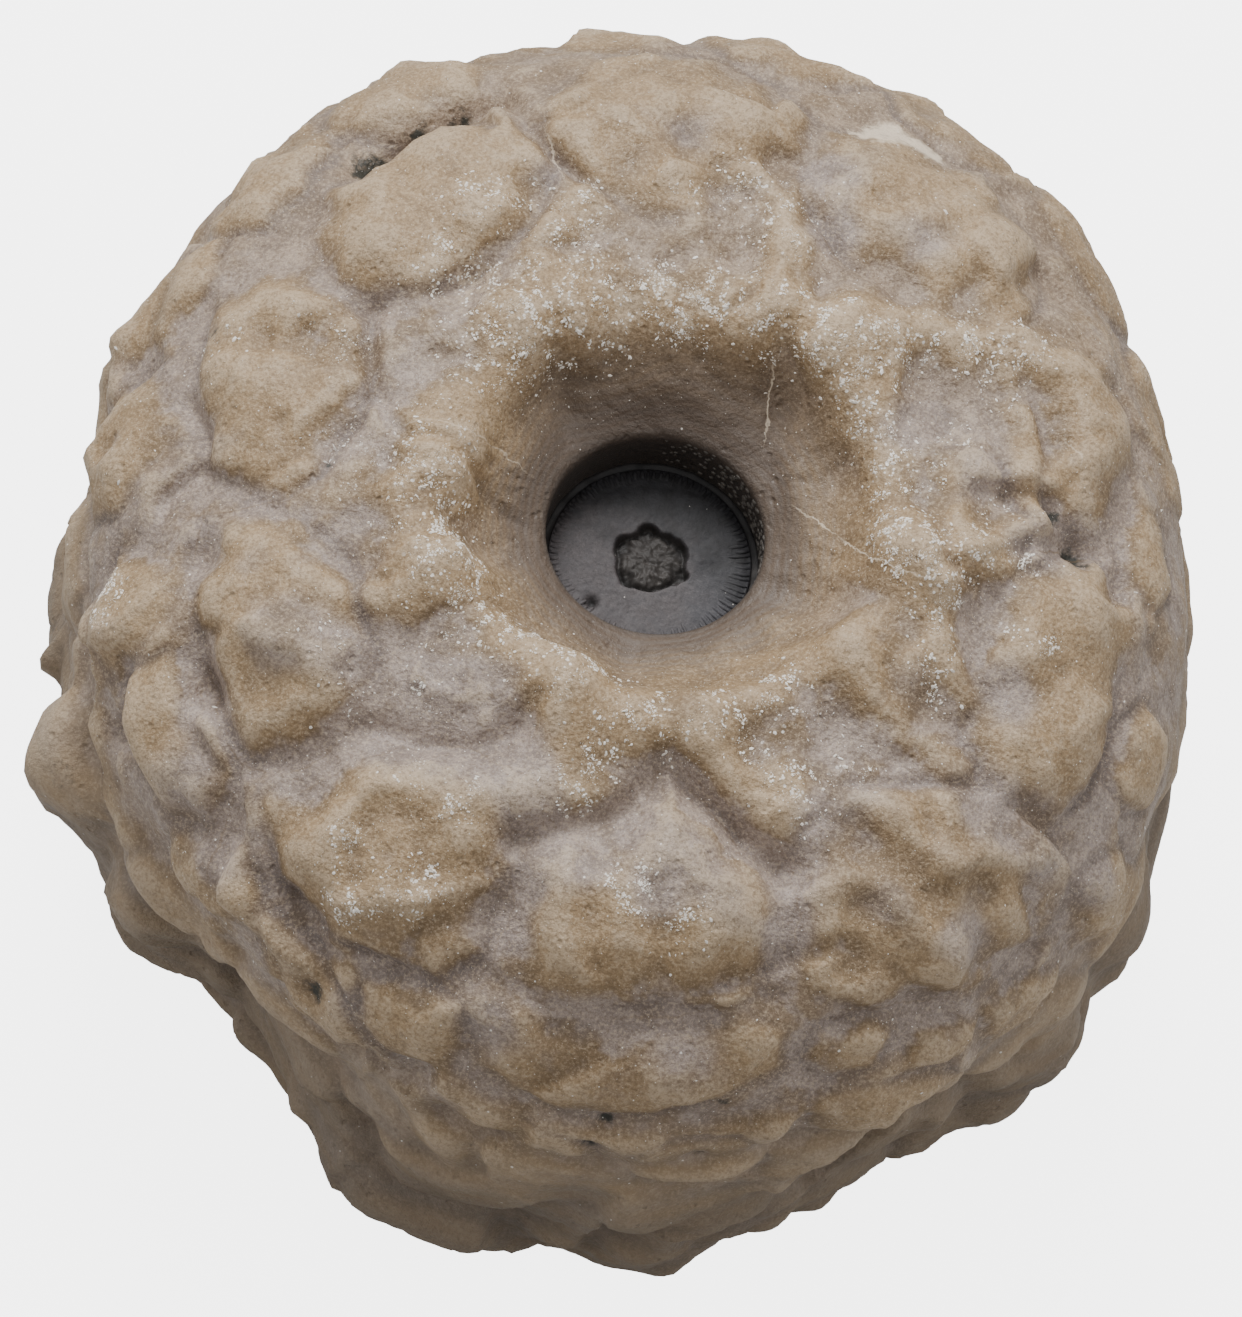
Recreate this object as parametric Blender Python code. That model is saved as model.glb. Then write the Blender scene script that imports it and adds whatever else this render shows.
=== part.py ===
"""Fossil crinoid cup: a knobbly stone calyx with the last stem disc lodged in the pit at its base.

The cup lies with its base up. +Z runs along the stem axis, out of the pit. The origin is the middle
of the flat patch that the cup rests on. A place on the surface is given by two numbers: its azimuth
round the stem axis (degrees, 0 = +X, 90 = +Y) and its distance out from the crest of the pit's rim,
measured along the surface (mm, negative inside the pit).
"""

import bpy
import numpy as np

# ---- driving dimensions, in millimetres ----
MM = 0.001
HEIGHT = 27.5          # rest patch to the crest of the rim
RIM_RADIUS = 9.7       # crest of the rim round the pit
PIT_DEPTH = 5.6        # crest down to the face of the stem disc
SOCKET_RADIUS = 4.3    # straight socket at the bottom of the pit
DISC_RADIUS = 4.0      # stem disc
DISC_THICKNESS = 1.5
GAP = 0.3              # clearance between the stem disc and its socket
REST_RADIUS = 13.0     # flat patch that the cup rests on
BODY_RADIUS = 24.0     # radius that the profile below is drawn for
LUMEN_LOBES = (31, 108, 160, 232, 345)  # azimuths of the lobes in the stem disc's hollow

CUP_TRIANGLES = 8200
CUP_AROUND, CUP_ALONG = 300, 190

FACE_HEIGHT = HEIGHT - PIT_DEPTH
SOCKET_FLOOR = FACE_HEIGHT - DISC_THICKNESS - GAP

# Half section of the cup, (radius, height), from the socket floor over the rim to the rest patch.
PROFILE = [
    (0.0, SOCKET_FLOOR), (SOCKET_RADIUS, SOCKET_FLOOR), (SOCKET_RADIUS, HEIGHT - 3.3),
    (5.4, HEIGHT - 2.6), (6.9, HEIGHT - 1.7), (8.2, HEIGHT - 0.7), (RIM_RADIUS, HEIGHT),
    (13.0, HEIGHT - 0.5), (17.0, HEIGHT - 1.6), (20.4, HEIGHT - 3.4), (22.6, HEIGHT - 6.0),
    (23.7, HEIGHT - 9.5), (23.9, HEIGHT - 13.5), (24.2, HEIGHT - 18.0), (23.4, HEIGHT - 22.0),
    (20.6, HEIGHT - 25.3), (16.5, HEIGHT - 27.1), (REST_RADIUS, 0.0), (0.0, 0.0),
]
CREST = PROFILE.index((RIM_RADIUS, HEIGHT))
STRAIGHT_START = 3     # so many stretches at each end of PROFILE are straight
STRAIGHT_END = 3

# Radius of the body every 30 degrees: the cup is a little wider at the far side.
PLAN_RADII = (22.3, 22.7, 24.9, 25.3, 24.9, 23.8, 22.7, 22.8, 23.3, 23.9, 24.0, 23.0)

# Where the arms sat, the wall swells out, and it falls back between them:
# azimuth, half width (degrees), push (mm), middle and half length along the wall (mm).
ARM_SWELLS = [
    (207, 10, 1.6, 22.5, 4.0), (208, 6, -1.3, 31.0, 6.0), (222, 8, 1.1, 23.0, 4.0),
    (234, 26, -3.2, 28.0, 13.0), (252, 9, 1.0, 29.0, 6.0), (276, 19, -0.8, 29.0, 8.0),
    (283, 8, 0.6, 31.0, 5.0), (296, 9, -0.6, 31.0, 5.0), (309, 26, -2.0, 28.0, 12.0),
    (329, 11, 0.8, 27.0, 5.0), (336, 8, -0.9, 27.0, 6.0), (344, 7, 0.5, 26.0, 5.0),
    (352, 16, -0.7, 23.0, 6.0), (170, 22, -0.5, 18.0, 7.0), (150, 16, 0.5, 18.0, 6.0),
    (104, 10, -0.5, 15.0, 5.0), (173, 7, -0.5, 24.0, 4.0), (221, 7, 0.8, 29.0, 9.0),
    (134, 7, 0.5, 16.0, 4.0), (340, 5, -0.4, 30.0, 4.0),
]

# Plates on top: rise, then the corners of the outline (azimuth, out).
TOP_PLATES = [
    (0.90, [(150, 9), (143, 10), (138, 9.4), (132, 9.2), (126, 9.4), (121, 8.8), (118, 7.4),
            (117, 5.5), (122, 3.8), (132, 2.8), (143, 3.1), (152, 4.5), (154, 6.4)]),
    (0.74, [(114, 8.6), (116, 6.6), (114, 5), (108, 3.3), (102, 2.7), (94, 3), (89, 4.5), (82, 5),
            (82, 6.8), (82, 8.8), (88, 10.6), (96, 11.6), (106, 11)]),
    (0.90, [(80, 8.5), (80, 6.8), (79, 5.3), (74, 4.5), (68, 3.6), (58, 3.3), (50, 4.3), (44, 5.8),
            (43, 8), (47, 9.9), (52, 11.3), (60, 10.8), (67, 10.2), (74, 9.7)]),
    (0.62, [(40, 5.8), (38, 8.3), (36, 10.3), (32, 12.3), (27, 12.7), (20, 10.8), (12, 9.4),
            (12, 6.9), (18, 6.1), (24, 6.9), (31, 6.8)]),
    (0.86, [(2, 5.6), (6, 7), (8, 9.1), (4, 10.8), (357, 11.3), (347, 11.7), (340, 12), (333, 11.4),
           (330, 9.6), (330, 7.4), (332, 5.9), (340, 5.4), (343, 4.1), (352, 4.1)]),
    (0.74, [(298, 6.7), (303, 5.2), (312, 4.6), (320, 5.3), (326, 6.9), (330, 9), (332, 11.5),
           (330, 13.4), (325, 14.4), (318, 14.4), (311, 13.4), (304, 12.3), (298, 10.9), (296, 8.8)]),
    (0.90, [(282, 2.1), (277, 3.6), (272, 5), (264, 5.9), (262, 7.5), (264, 9.8), (267, 11),
           (274, 11.1), (281, 10.8), (288, 11), (293, 10.2), (296, 8.8), (297, 7.1), (293, 5.4),
           (288, 3.6)]),
    (0.82, [(230, 10.8), (232, 8.8), (234, 7), (239, 5.1), (246, 3.8), (254, 4.3), (259, 5.8),
           (259, 8.3), (261, 10.5), (257, 11.9), (250, 12.4), (244, 12.8), (237, 12.6)]),
    (0.98, [(194, 8.7), (193, 6.8), (196, 4.9), (201, 3.7), (210, 3.1), (222, 3.6), (229, 5.1),
            (230, 7), (228, 9.1), (224, 10.3), (217, 10.4), (207, 10.3), (201, 9.9)]),
    (0.78, [(166, 11.3), (158, 10.4), (155, 8.5), (156, 6.2), (158, 4.5), (166, 3.2), (176, 2.8),
           (184, 3.6), (190, 5), (192, 6.2), (190, 7.6), (184, 9.1), (176, 10.4)]),
    # a small one near the rim
    (0.35, [(20, 0.7), (24, 1.6), (25, 2.9), (22, 3.8), (15, 4.1), (10, 5), (3, 5), (357, 3.8),
           (356, 2.4), (358, 1.7), (6, 0.7)]),
    # the row outside the ring, where it shows most
    (0.23, [(262, 12.6), (267, 12.3), (277, 12.3), (284, 12), (290, 11.8), (294, 12.4), (294, 13.8),
           (288, 14.8), (282, 15.5), (277, 16), (272, 15.8), (264, 14.8)]),
    (0.55, [(194, 12.6), (196, 10.9), (200, 10.6), (204, 11.6), (206, 12.8), (207, 15), (203, 15.7),
           (197, 15.3), (193, 14.2)]),
    (0.70, [(208, 11.8), (212, 11), (219, 11), (225, 11.6), (227, 13.6), (222, 14.8), (216, 15.4),
           (211, 15.4), (208, 13.8)]),
    (0.47, [(228, 13.6), (231, 12.6), (236, 13.8), (235, 16.6), (229, 18.6), (223, 18), (225, 15.5)]),
    (0.47, [(238, 14.2), (244, 14), (249, 14.8), (253, 17.2), (250, 19.4), (243, 18.6)]),
    (0.55, [(250, 13.6), (254, 12.9), (260, 12.6), (261, 14.4), (261, 16.6), (256, 16.6),
           (252, 15.2)]),
    (0.47, [(332, 14.2), (336, 14.6), (341, 16), (342, 19), (336, 20), (330, 17.5)]),
    (0.39, [(343, 12.6), (350, 12.2), (355, 13.2), (354, 15.6), (346, 16.4), (343, 14.6)]),
    (0.39, [(18, 11.7), (16, 13.4), (9, 14), (5, 12.6), (8, 10.6), (13, 10.5)]),
    (0.31, [(298, 12.7), (303, 12.8), (306, 13.8), (303, 14.9), (298, 14.9), (296, 13.8)]),
    (0.35, [(308, 14), (312, 14.6), (315, 15.8), (311, 16.6), (307, 15.6)]),
    (0.35, [(316, 15.4), (322, 15.8), (327, 17.4), (323, 19.2), (317, 18.4)]),
    (0.30, [(297, 16), (303, 15.9), (309, 17), (314, 18.6), (311, 20.8), (303, 20.4), (297, 18.4)]),
    (0.25, [(264, 17), (270, 17.2), (276, 18.2), (276, 20.8), (269, 21.2), (263, 19.6)]),
]
# Guessed plates on the far shoulder: azimuth, out, half width round the cup, half width outwards, rise.
OVAL_PLATES = [
    (179, 14.4, 3.4, 2.8, 0.5), (161, 14.8, 3.4, 2.8, 0.4), (145, 13.8, 3.6, 2.9, 0.4),
    (126, 13.6, 3.7, 2.9, 0.4), (106, 14.6, 3.7, 2.7, 0.25), (87, 14.2, 3.7, 2.8, 0.2),
    (68, 14.4, 3.6, 2.8, 0.15), (50, 15.4, 3.5, 2.9, 0.2), (31, 16.0, 3.8, 2.6, 0.25),
    (286, 19.4, 2.9, 1.8, 0.2),
]
# Rows of small plates on the wall: out, count, rise.
WALL_ROWS = [(20.6, 19, 0.50), (24.6, 17, 0.45), (28.6, 18, 0.50), (32.4, 16, 0.40), (35.8, 13, 0.30)]
WALL_PLATE_LENGTH = 2.1
WORN_SIDE = (282, 55)  # middle and half width of the side where the wall is worn smooth, in degrees

# Ridges: places (azimuth, out), half width, height.
RIDGES = [
    # the crest of the pit's rim, in four stretches
    ([(175, -1.3), (168, -1.3), (154, -1.6), (143, -1.4), (132, -1.2), (116, -1.5), (92, -1.4),
      (73, -1.0), (58, 0.2)], 1.7, 0.60),
    ([(58, 0.2), (40, -0.4), (27, -0.8), (10, -0.8), (-2, 0.5)], 1.4, 0.35),
    ([(358, 0.5), (344, 0.2), (330, -0.2), (316, -0.5), (304, -0.5), (289, 0), (275, -0.2),
      (262, -0.2), (251, -1.0)], 1.8, 0.45),
    ([(251, -1.0), (236, -0.8), (221, -0.2), (210, -0.5), (202, -0.5), (191, -1.0),
      (175, -1.3)], 1.5, 0.40),
    # spokes from the rim to the plates of the ring and between them
    ([(132, 0), (124, 2), (114, 4.2), (114, 6)], 1.7, 0.55),
    ([(73, 0.2), (77, 3.0), (81, 5)], 1.1, 0.48),
    ([(58, 1.2), (49, 2.4), (44, 4.5), (39, 7.5), (36, 8.8)], 1.3, 0.50),
    ([(-2, 0.5), (-7, 1.4), (2, 3.2), (10, 5.5)], 0.9, 0.54),
    ([(10, 5.5), (16, 5.4), (27, 5.8), (35, 5.7)], 0.8, 0.41),
    ([(353, 1.4), (342, 2.8), (337, 4.5)], 0.8, 0.34),
    ([(330, -0.2), (325, 2.0), (328, 6.0)], 0.9, 0.37),
    ([(262, -0.2), (262, 2.6), (256, 4.4)], 1.9, 0.55),
    ([(289, 0), (298, 2.6), (303, 4.6)], 1.5, 0.40),
    ([(210, -0.5), (214, 1.5), (213, 3.2)], 1.0, 0.41),
    ([(186, -1.0), (191, 2.2), (195, 4.6)], 1.2, 0.27),
    # folds inside single plates
    ([(138, 8.4), (142, 7.1), (148, 5.4)], 0.7, 0.24),
    ([(143, 9.1), (146, 7.5), (152, 6.0)], 0.5, 0.17),
    ([(131, 8.0), (126, 7.4), (122, 6.0)], 1.3, 0.17),
    ([(102, 8.6), (101, 7.6), (100, 6.4)], 0.6, 0.24),
    ([(103, 3.8), (99, 4.3), (95, 5.0)], 0.9, 0.31),
    ([(91, 5.8), (88, 7.3), (85, 8.9)], 1.0, 0.24),
    ([(111, 7.6), (106, 6.6), (102, 5.6)], 0.7, 0.20),
    ([(71, 4.2), (64, 5.0), (61, 7.1), (60, 9.2)], 0.7, 0.20),
    ([(52, 4.5), (54, 6.4), (56, 8.1)], 0.8, 0.17),
    ([(38, 6.5), (32, 8.1), (28, 9.0)], 0.8, 0.20),
    ([(20, 8.2), (25, 10.1), (29, 11.7)], 0.9, 0.20),
    ([(358, 6.2), (358, 8.3), (358, 10.5)], 1.4, 0.24),
    ([(338, 7.1), (338, 8.6), (342, 10.3)], 1.4, 0.24),
    ([(239, 7.0), (239, 9.0), (242, 10.9), (245, 11.5)], 0.7, 0.31),
    ([(245, 11.5), (248, 10.6), (254, 9.5), (258, 8.4)], 0.6, 0.31),
    ([(238, 7.0), (246, 5.9), (252, 5.4)], 0.8, 0.17),
    ([(210, 9.4), (212, 8.1), (215, 6.5), (220, 5.6)], 0.7, 0.27),
    ([(198, 5.2), (206, 4.7), (214, 4.8)], 0.7, 0.20),
    ([(168, 10.4), (165, 9.0), (160, 7.1), (160, 4.8)], 0.8, 0.24),
    ([(164, 4.2), (172, 3.8), (180, 4.7)], 0.7, 0.17),
    ([(268, 6.2), (267, 7.8), (270, 9.5), (276, 10.3)], 0.8, 0.17),
    ([(273, 6.4), (281, 4.8), (288, 6.3), (293, 8.3)], 0.8, 0.17),
    # the star on one plate
    ([(323, 6.9), (319, 8.4), (316, 10.3), (313, 12.8)], 0.65, 0.41),
    ([(300, 7.0), (307, 7.6), (310, 9.2), (312, 10.8)], 0.6, 0.31),
    ([(316, 6.2), (316, 7.4), (318, 9.1)], 0.6, 0.20),
    ([(319, 9.3), (324, 10.0), (328, 11.6)], 0.6, 0.34),
    ([(301, 11.4), (307, 11.8), (313, 12.2)], 0.6, 0.27),
    # strands along the shoulder
    ([(246, 12.9), (250, 14.2), (252, 15.1), (254, 16.4)], 0.7, 0.31),
    ([(236, 14.6), (243, 14.6), (249, 15.4), (257, 18.5), (262, 21.0)], 0.8, 0.41),
    ([(255, 12.2), (262, 12.6), (268, 12.5)], 0.6, 0.20),
    ([(262, 13.6), (272, 13.7), (280, 13.4), (288, 13.0), (294, 12.6)], 0.9, 0.08),
    ([(262, 16.8), (272, 17.4), (283, 17.3), (296, 16.4), (304, 15.6), (312, 16.2)], 0.7, 0.27),
    ([(206, 11.9), (208, 13.6), (208, 15.8)], 0.6, 0.27),
    ([(200, 15.5), (210, 18.5), (222, 20.5), (236, 22)], 1.0, 0.34),
]
# Hollows and knobs: azimuth, out, radius, height (negative is a hollow).
SPOTS = [
    # hollows just outside the rim
    (154, 0.6, 1.7, -0.41), (300, 1.3, 1.6, -0.45), (318, 1.1, 1.4, -0.45), (226, 0.8, 1.5, -0.38),
    (33, 2.2, 2.2, -0.38), (324, 4.0, 1.9, -0.30), (29, -2.8, 1.3, -0.34), (186, 2.0, 1.6, -0.19),
    # hollows on the star plate
    (307, 8.6, 1.0, -0.38), (304, 10.2, 1.2, -0.38), (321, 10.6, 1.0, -0.45), (326, 12.2, 0.9, -0.38),
    (318, 12.6, 1.0, -0.38), (319, 7.4, 1.0, -0.26), (310, 6.6, 1.0, -0.26),
    # hollows on and between the other plates
    (144, 8.0, 0.9, -0.26), (138, 7.0, 1.0, -0.26), (97, 6.2, 1.2, -0.41), (107, 8.8, 1.0, -0.22),
    (60, 5.4, 1.1, -0.26), (48, 8.4, 1.2, -0.26), (24, 7.6, 0.9, -0.34), (18, 7.4, 0.7, -0.22),
    (344, 7.2, 1.1, -0.34), (251, 10.9, 1.0, -0.41), (255, 10.0, 0.9, -0.30), (241, 8.2, 0.7, -0.26),
    (234, 10.8, 1.2, -0.34), (208, 6.6, 1.4, -0.26), (219, 8.8, 1.4, -0.34), (200, 7.8, 1.2, -0.22),
    (167, 10.6, 0.7, -0.26), (180, 6.2, 1.3, -0.26), (164, 5.6, 1.0, -0.22), (288, 10.0, 0.3, -0.15),
    (264, 7.6, 0.9, -0.19), (8, 2.9, 1.2, -0.19),
    # open cavities
    (136, 10.6, 1.4, -1.2), (130, 10.6, 1.0, -0.9), (125, 10.2, 0.9, -0.7),
    (8, 8.2, 1.0, -0.9), (13, 6.6, 0.8, -0.5), (214, 11.0, 1.1, -1.0), (197, 9.4, 0.9, -0.6),
    (246, 15.4, 0.9, -0.7), (277, 16.5, 0.5, -0.4), (276, 17.9, 0.5, -0.4), (286, 18.6, 0.6, -0.3),
    # hollows low on the wall
    (249, 21.8, 1.6, -0.8), (254, 24.5, 1.4, -0.6), (210, 19.5, 1.4, -0.9),
    # knobs on the outline
    (165, 17.2, 1.5, 1.3), (170, 17.5, 1.3, 0.7), (179, 16.5, 1.3, 0.5), (125, 15.5, 1.0, 0.6),
    (207, 22.0, 1.8, 0.5),
]
# Creases: places (azimuth, out), half width, depth.
CREASES = [
    # edges between the facets of the pit
    ([(66, -0.6), (58, -3.0), (46, -5.2)], 0.9, 0.45),
    ([(131, -0.8), (136, -3.2), (142, -5.2)], 0.9, 0.40),
    ([(202, -1.4), (204, -3.4), (208, -5.2)], 0.9, 0.30),
    ([(268, -1.2), (268, -3.2), (268, -5.2)], 0.9, 0.30),
    ([(345, -0.6), (342, -3.0), (338, -5.2)], 0.9, 0.30),
    # grooves between and beside the plates
    ([(-6, 1.4), (2, 3.6), (9, 7), (9, 9.5)], 0.4, 0.35),
    ([(195, -6), (180, -1), (177, 1.2), (164, 3.2), (155, 4.4)], 0.35, 0.25),
    ([(260, 6.0), (267, 4.6), (274, 3.6), (279, 2.4), (282, 1.7), (288, 3.0), (294, 4.8), (299, 6.6)],
     0.65, 0.65),
    ([(252, 0.8), (251, 2.4), (243, 4.1), (234, 5.3), (230, 6.2)], 0.6, 0.5),
    ([(262, 11.2), (272, 11.7), (282, 11.4), (290, 11.3), (296, 10.6)], 0.4, 0.12),
    ([(136, 10.4), (131, 10.5), (125, 10.2), (119, 10.0)], 0.5, 0.8),
    ([(118, 9.4), (118, 7.0), (114, 4.6)], 0.4, 0.4),
    ([(184, 9.6), (180, 9.8), (176, 11.0)], 0.4, 0.5),
    ([(239, 12.9), (244, 13.6), (249, 13.0)], 0.5, 0.5),
    ([(262, 19.0), (276, 19.6), (293, 18.8), (305, 19.8)], 0.6, 0.4),
]


def clear_scene():
    for thing in list(bpy.data.objects):
        bpy.data.objects.remove(thing, do_unlink=True)


def stone(name, colour, roughness):
    """A Principled material in one colour."""
    material = bpy.data.materials.new(name)
    material.use_nodes = True
    shader = material.node_tree.nodes["Principled BSDF"]
    shader.inputs["Base Color"].default_value = (*colour, 1.0)
    shader.inputs["Roughness"].default_value = roughness
    shader.inputs["Metallic"].default_value = 0.0
    return material


# ---- small helpers for curves and fades ----
def fade(x):
    """Smooth step from 0 at x = 0 to 1 at x = 1."""
    x = np.clip(x, 0.0, 1.0)
    return x * x * (3.0 - 2.0 * x)


def hump(x):
    """Round hump: 1 at x = 0, 0 from |x| = 1 on."""
    return (1.0 - np.clip(np.abs(x), 0.0, 1.0) ** 2) ** 2


def turn_between(azimuth, other):
    """Signed angle from other to azimuth, in degrees from -180 to 180."""
    return (azimuth - other + 180.0) % 360.0 - 180.0


def smooth_curve(values, at, closed):
    """Catmull-Rom curve through evenly numbered values, read at fractional places."""
    values = np.asarray(values, float)
    count = len(values)
    first = np.floor(at).astype(int)
    f = at - first
    if values.ndim > 1:
        f = f[..., None]

    def value(k):
        return values[k % count] if closed else values[np.clip(k, 0, count - 1)]

    a, b, c, d = value(first - 1), value(first), value(first + 1), value(first + 2)
    return 0.5 * (2 * b + (c - a) * f + (2 * a - 5 * b + 4 * c - d) * f**2 + (3 * b - a - 3 * c + d) * f**3)


# ---- the smooth body ----
SECTION = np.array(PROFILE)
DISTANCES = np.concatenate([[0.0], np.cumsum(np.hypot(*np.diff(SECTION, axis=0).T))])
DISTANCES -= DISTANCES[CREST]
FIRST_OUT, LAST_OUT = DISTANCES[0], DISTANCES[-1]


def section_point(out):
    """Radius and height of the half section at a distance out from the crest."""
    piece = np.clip(np.searchsorted(DISTANCES, out, side="right") - 1, 0, len(SECTION) - 2)
    f = (out - DISTANCES[piece]) / (DISTANCES[piece + 1] - DISTANCES[piece])
    curve = smooth_curve(SECTION, piece + f, closed=False)
    straight = SECTION[piece] + (SECTION[piece + 1] - SECTION[piece]) * f[..., None]
    is_straight = (piece < STRAIGHT_START) | (piece > len(SECTION) - 1 - STRAIGHT_END)
    return np.where(is_straight[..., None], straight, curve)


def body_point(azimuth, out):
    """Point on the body before any plates or ridges are raised on it."""
    section = section_point(out)
    radius, height = section[..., 0], section[..., 1]
    wide = smooth_curve(PLAN_RADII, (azimuth % 360.0) / 30.0, closed=True) / BODY_RADIUS
    radius = radius * (1.0 + (wide - 1.0) * fade((radius - RIM_RADIUS) / 10.0))
    for middle, half_width, push, out_middle, half_length in ARM_SWELLS:
        around = hump(turn_between(azimuth, middle) / half_width)
        radius = radius + push * around * hump((out - out_middle) / half_length)
    angle = np.radians(azimuth)
    return np.stack([radius * np.cos(angle), radius * np.sin(angle), height], axis=-1)


def body_normal(azimuth, out):
    """Outward unit normal of the smooth body."""
    step_out, step_azimuth = 0.05, 0.2
    along = (body_point(azimuth, np.minimum(out + step_out, LAST_OUT))
             - body_point(azimuth, np.maximum(out - step_out, FIRST_OUT)))
    around = body_point(azimuth + step_azimuth, out) - body_point(azimuth - step_azimuth, out)
    normal = np.cross(along, around)
    return normal / np.maximum(np.linalg.norm(normal, axis=-1, keepdims=True), 1e-9)


def one_point(azimuth, out):
    return body_point(np.array([float(azimuth)]), np.array([float(out)]))[0]


# ---- plates, ridges, hollows and creases ----
def oval_outline(azimuth, out, half_width, half_out, random):
    """Uneven seven-cornered outline about an oval."""
    corners = 7
    radius = np.hypot(*one_point(azimuth, out)[:2])
    turns = (np.arange(corners) + random.uniform(-0.25, 0.25, corners)) * 2 * np.pi / corners
    reach = random.uniform(0.94, 1.16, corners)
    around = np.degrees(half_width / radius) * reach * np.cos(turns)
    outward = half_out * reach * np.sin(turns)
    return list(zip(azimuth + around, out + outward))


def outer_plates():
    """The guessed plates: ovals on the far shoulder, and staggered rows down the wall."""
    random = np.random.default_rng(11)
    plates = [(rise, oval_outline(azimuth, out, half_width, half_out, random))
              for azimuth, out, half_width, half_out, rise in OVAL_PLATES]
    for row, (out, count, rise) in enumerate(WALL_ROWS):
        half_width = 0.90 * np.pi * np.hypot(*one_point(0.0, out)[:2]) / count
        for k in range(count):
            shift, slide, size, lift = random.uniform(-1.0, 1.0, 4)
            azimuth = (k + 0.5 * (row % 2) + 0.16 * shift) * 360.0 / count
            wear = 1.0 - 0.85 * hump(turn_between(azimuth, WORN_SIDE[0]) / WORN_SIDE[1])
            plates.append((rise * (1.0 + 0.4 * lift) * wear,
                           oval_outline(azimuth, out + 0.7 * slide, half_width * (1.0 + 0.12 * size),
                                        WALL_PLATE_LENGTH * (1.0 - 0.1 * size), random)))
    return plates


ALL_PLATES = TOP_PLATES + outer_plates()


def outline_depth(points, corners):
    """How far inside an outline each point lies, in mm (negative outside), and the largest depth."""
    ring = np.array([one_point(*corner) for corner in corners])
    centre = ring.mean(axis=0)
    spokes = ring - centre
    normal = np.cross(spokes, np.roll(spokes, -1, axis=0)).sum(axis=0)
    normal /= np.linalg.norm(normal)
    across = np.cross(normal, spokes[0])
    across /= np.linalg.norm(across)
    plane = np.stack([np.cross(across, normal), across], axis=-1)
    offset = points - centre
    near = np.linalg.norm(offset, axis=-1) < np.linalg.norm(spokes, axis=-1).max() + 2.5
    flat, corner = offset[near] @ plane, spokes @ plane
    inside = np.zeros(len(flat), bool)
    distance = np.full(len(flat), 9.0)
    for start, end in zip(corner, np.roll(corner, -1, axis=0)):
        run, away = end - start, flat - start
        f = np.clip(away @ run / (run @ run), 0.0, 1.0)
        distance = np.minimum(distance, np.linalg.norm(away - f[:, None] * run, axis=-1))
        crosses = (start[1] > flat[:, 1]) != (end[1] > flat[:, 1])
        slope = run[0] / run[1] if run[1] else 0.0
        inside ^= crosses & (flat[:, 0] < start[0] + slope * (flat[:, 1] - start[1]))
    depth = np.full(points.shape[:-1], -9.0)
    depth[near] = np.where(inside, distance, -distance)
    return depth, max(depth.max(), 0.5)


def rough_waves(points, longest, height, layers, seed):
    """Uneven swell of the surface: a sum of waves in directions fixed by the seed."""
    random = np.random.default_rng(seed)
    total = np.zeros(points.shape[:-1])
    for layer in range(layers):
        for _ in range(6):
            direction = random.normal(size=3)
            direction *= 2 * np.pi * 1.9**layer / longest / np.linalg.norm(direction)
            total += 0.55**layer * np.sin(points @ direction + random.uniform(0, 2 * np.pi))
    return height * total / np.sqrt(6.0)


def plate_heights(points):
    """Height of the plates and of the shallow valleys between them."""
    valley_floor, groove = -0.15, 0.14
    softness = np.clip(0.5 + rough_waves(points, longest=10.0, height=0.45, layers=2, seed=9), 0.0, 1.0)
    uneven_edge = rough_waves(points, longest=4.0, height=0.12, layers=2, seed=10)
    height = np.full(points.shape[:-1], -1.0)
    nearest = np.full(points.shape[:-1], -9.0)
    for rise, corners in ALL_PLATES:
        depth, deepest = outline_depth(points, corners)
        depth = np.where(depth > -8.0, depth + uneven_edge, depth)
        steep = np.clip(depth / (0.75 * deepest), 0.0, 1.0)
        profile = softness * fade(steep) + (1.0 - softness) * (1.0 - (1.0 - steep) ** 2)
        swell = rise * (0.86 * profile + 0.14 * np.maximum(depth, 0.0) / deepest)
        height = np.maximum(height, np.where(depth > 0, swell, -1.0))
        nearest = np.maximum(nearest, depth)
    outside = valley_floor * fade(-nearest / 0.9)
    return np.where(nearest > 0, height, outside) - groove * np.exp(-((nearest + 0.2) / 0.25) ** 2)


def distance_to_line(points, line):
    """Distance to a smooth line on the body through the given (azimuth, out) points."""
    places = np.linspace(0, len(line) - 1, 8 * (len(line) - 1) + 1)
    azimuth, out = smooth_curve(line, places, closed=False).T
    path = body_point(azimuth, out)
    nearest = np.full(points.shape[:-1], 1e3)
    for start, end in zip(path[:-1], path[1:]):
        run = end - start
        f = np.clip((points - start) @ run / (run @ run), 0.0, 1.0)
        nearest = np.minimum(nearest, np.linalg.norm(points - start - f[..., None] * run, axis=-1))
    return nearest


def worn_facets(points, spacing, tilt, seed):
    """Small uneven facets: each patch of the surface leans its own way, and patches blend."""
    random = np.random.default_rng(seed)
    count = int(6.0 * (BODY_RADIUS / spacing) ** 2)
    azimuths = random.uniform(0.0, 360.0, count)
    outs = random.uniform(-6.0, 38.0, count)
    centres = body_point(azimuths, outs)
    leans = random.normal(scale=tilt, size=(count, 3))
    lifts = random.normal(scale=tilt * spacing * 0.4, size=count)
    total = np.zeros(points.shape[:-1])
    weight = np.full(points.shape[:-1], 1e-9)
    for centre, lean, lift in zip(centres, leans, lifts):
        offset = points - centre
        share = np.exp(-4.0 * np.sum(offset * offset, axis=-1) / spacing**2)
        total += share * (offset @ lean + lift)
        weight += share
    return total / weight


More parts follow.
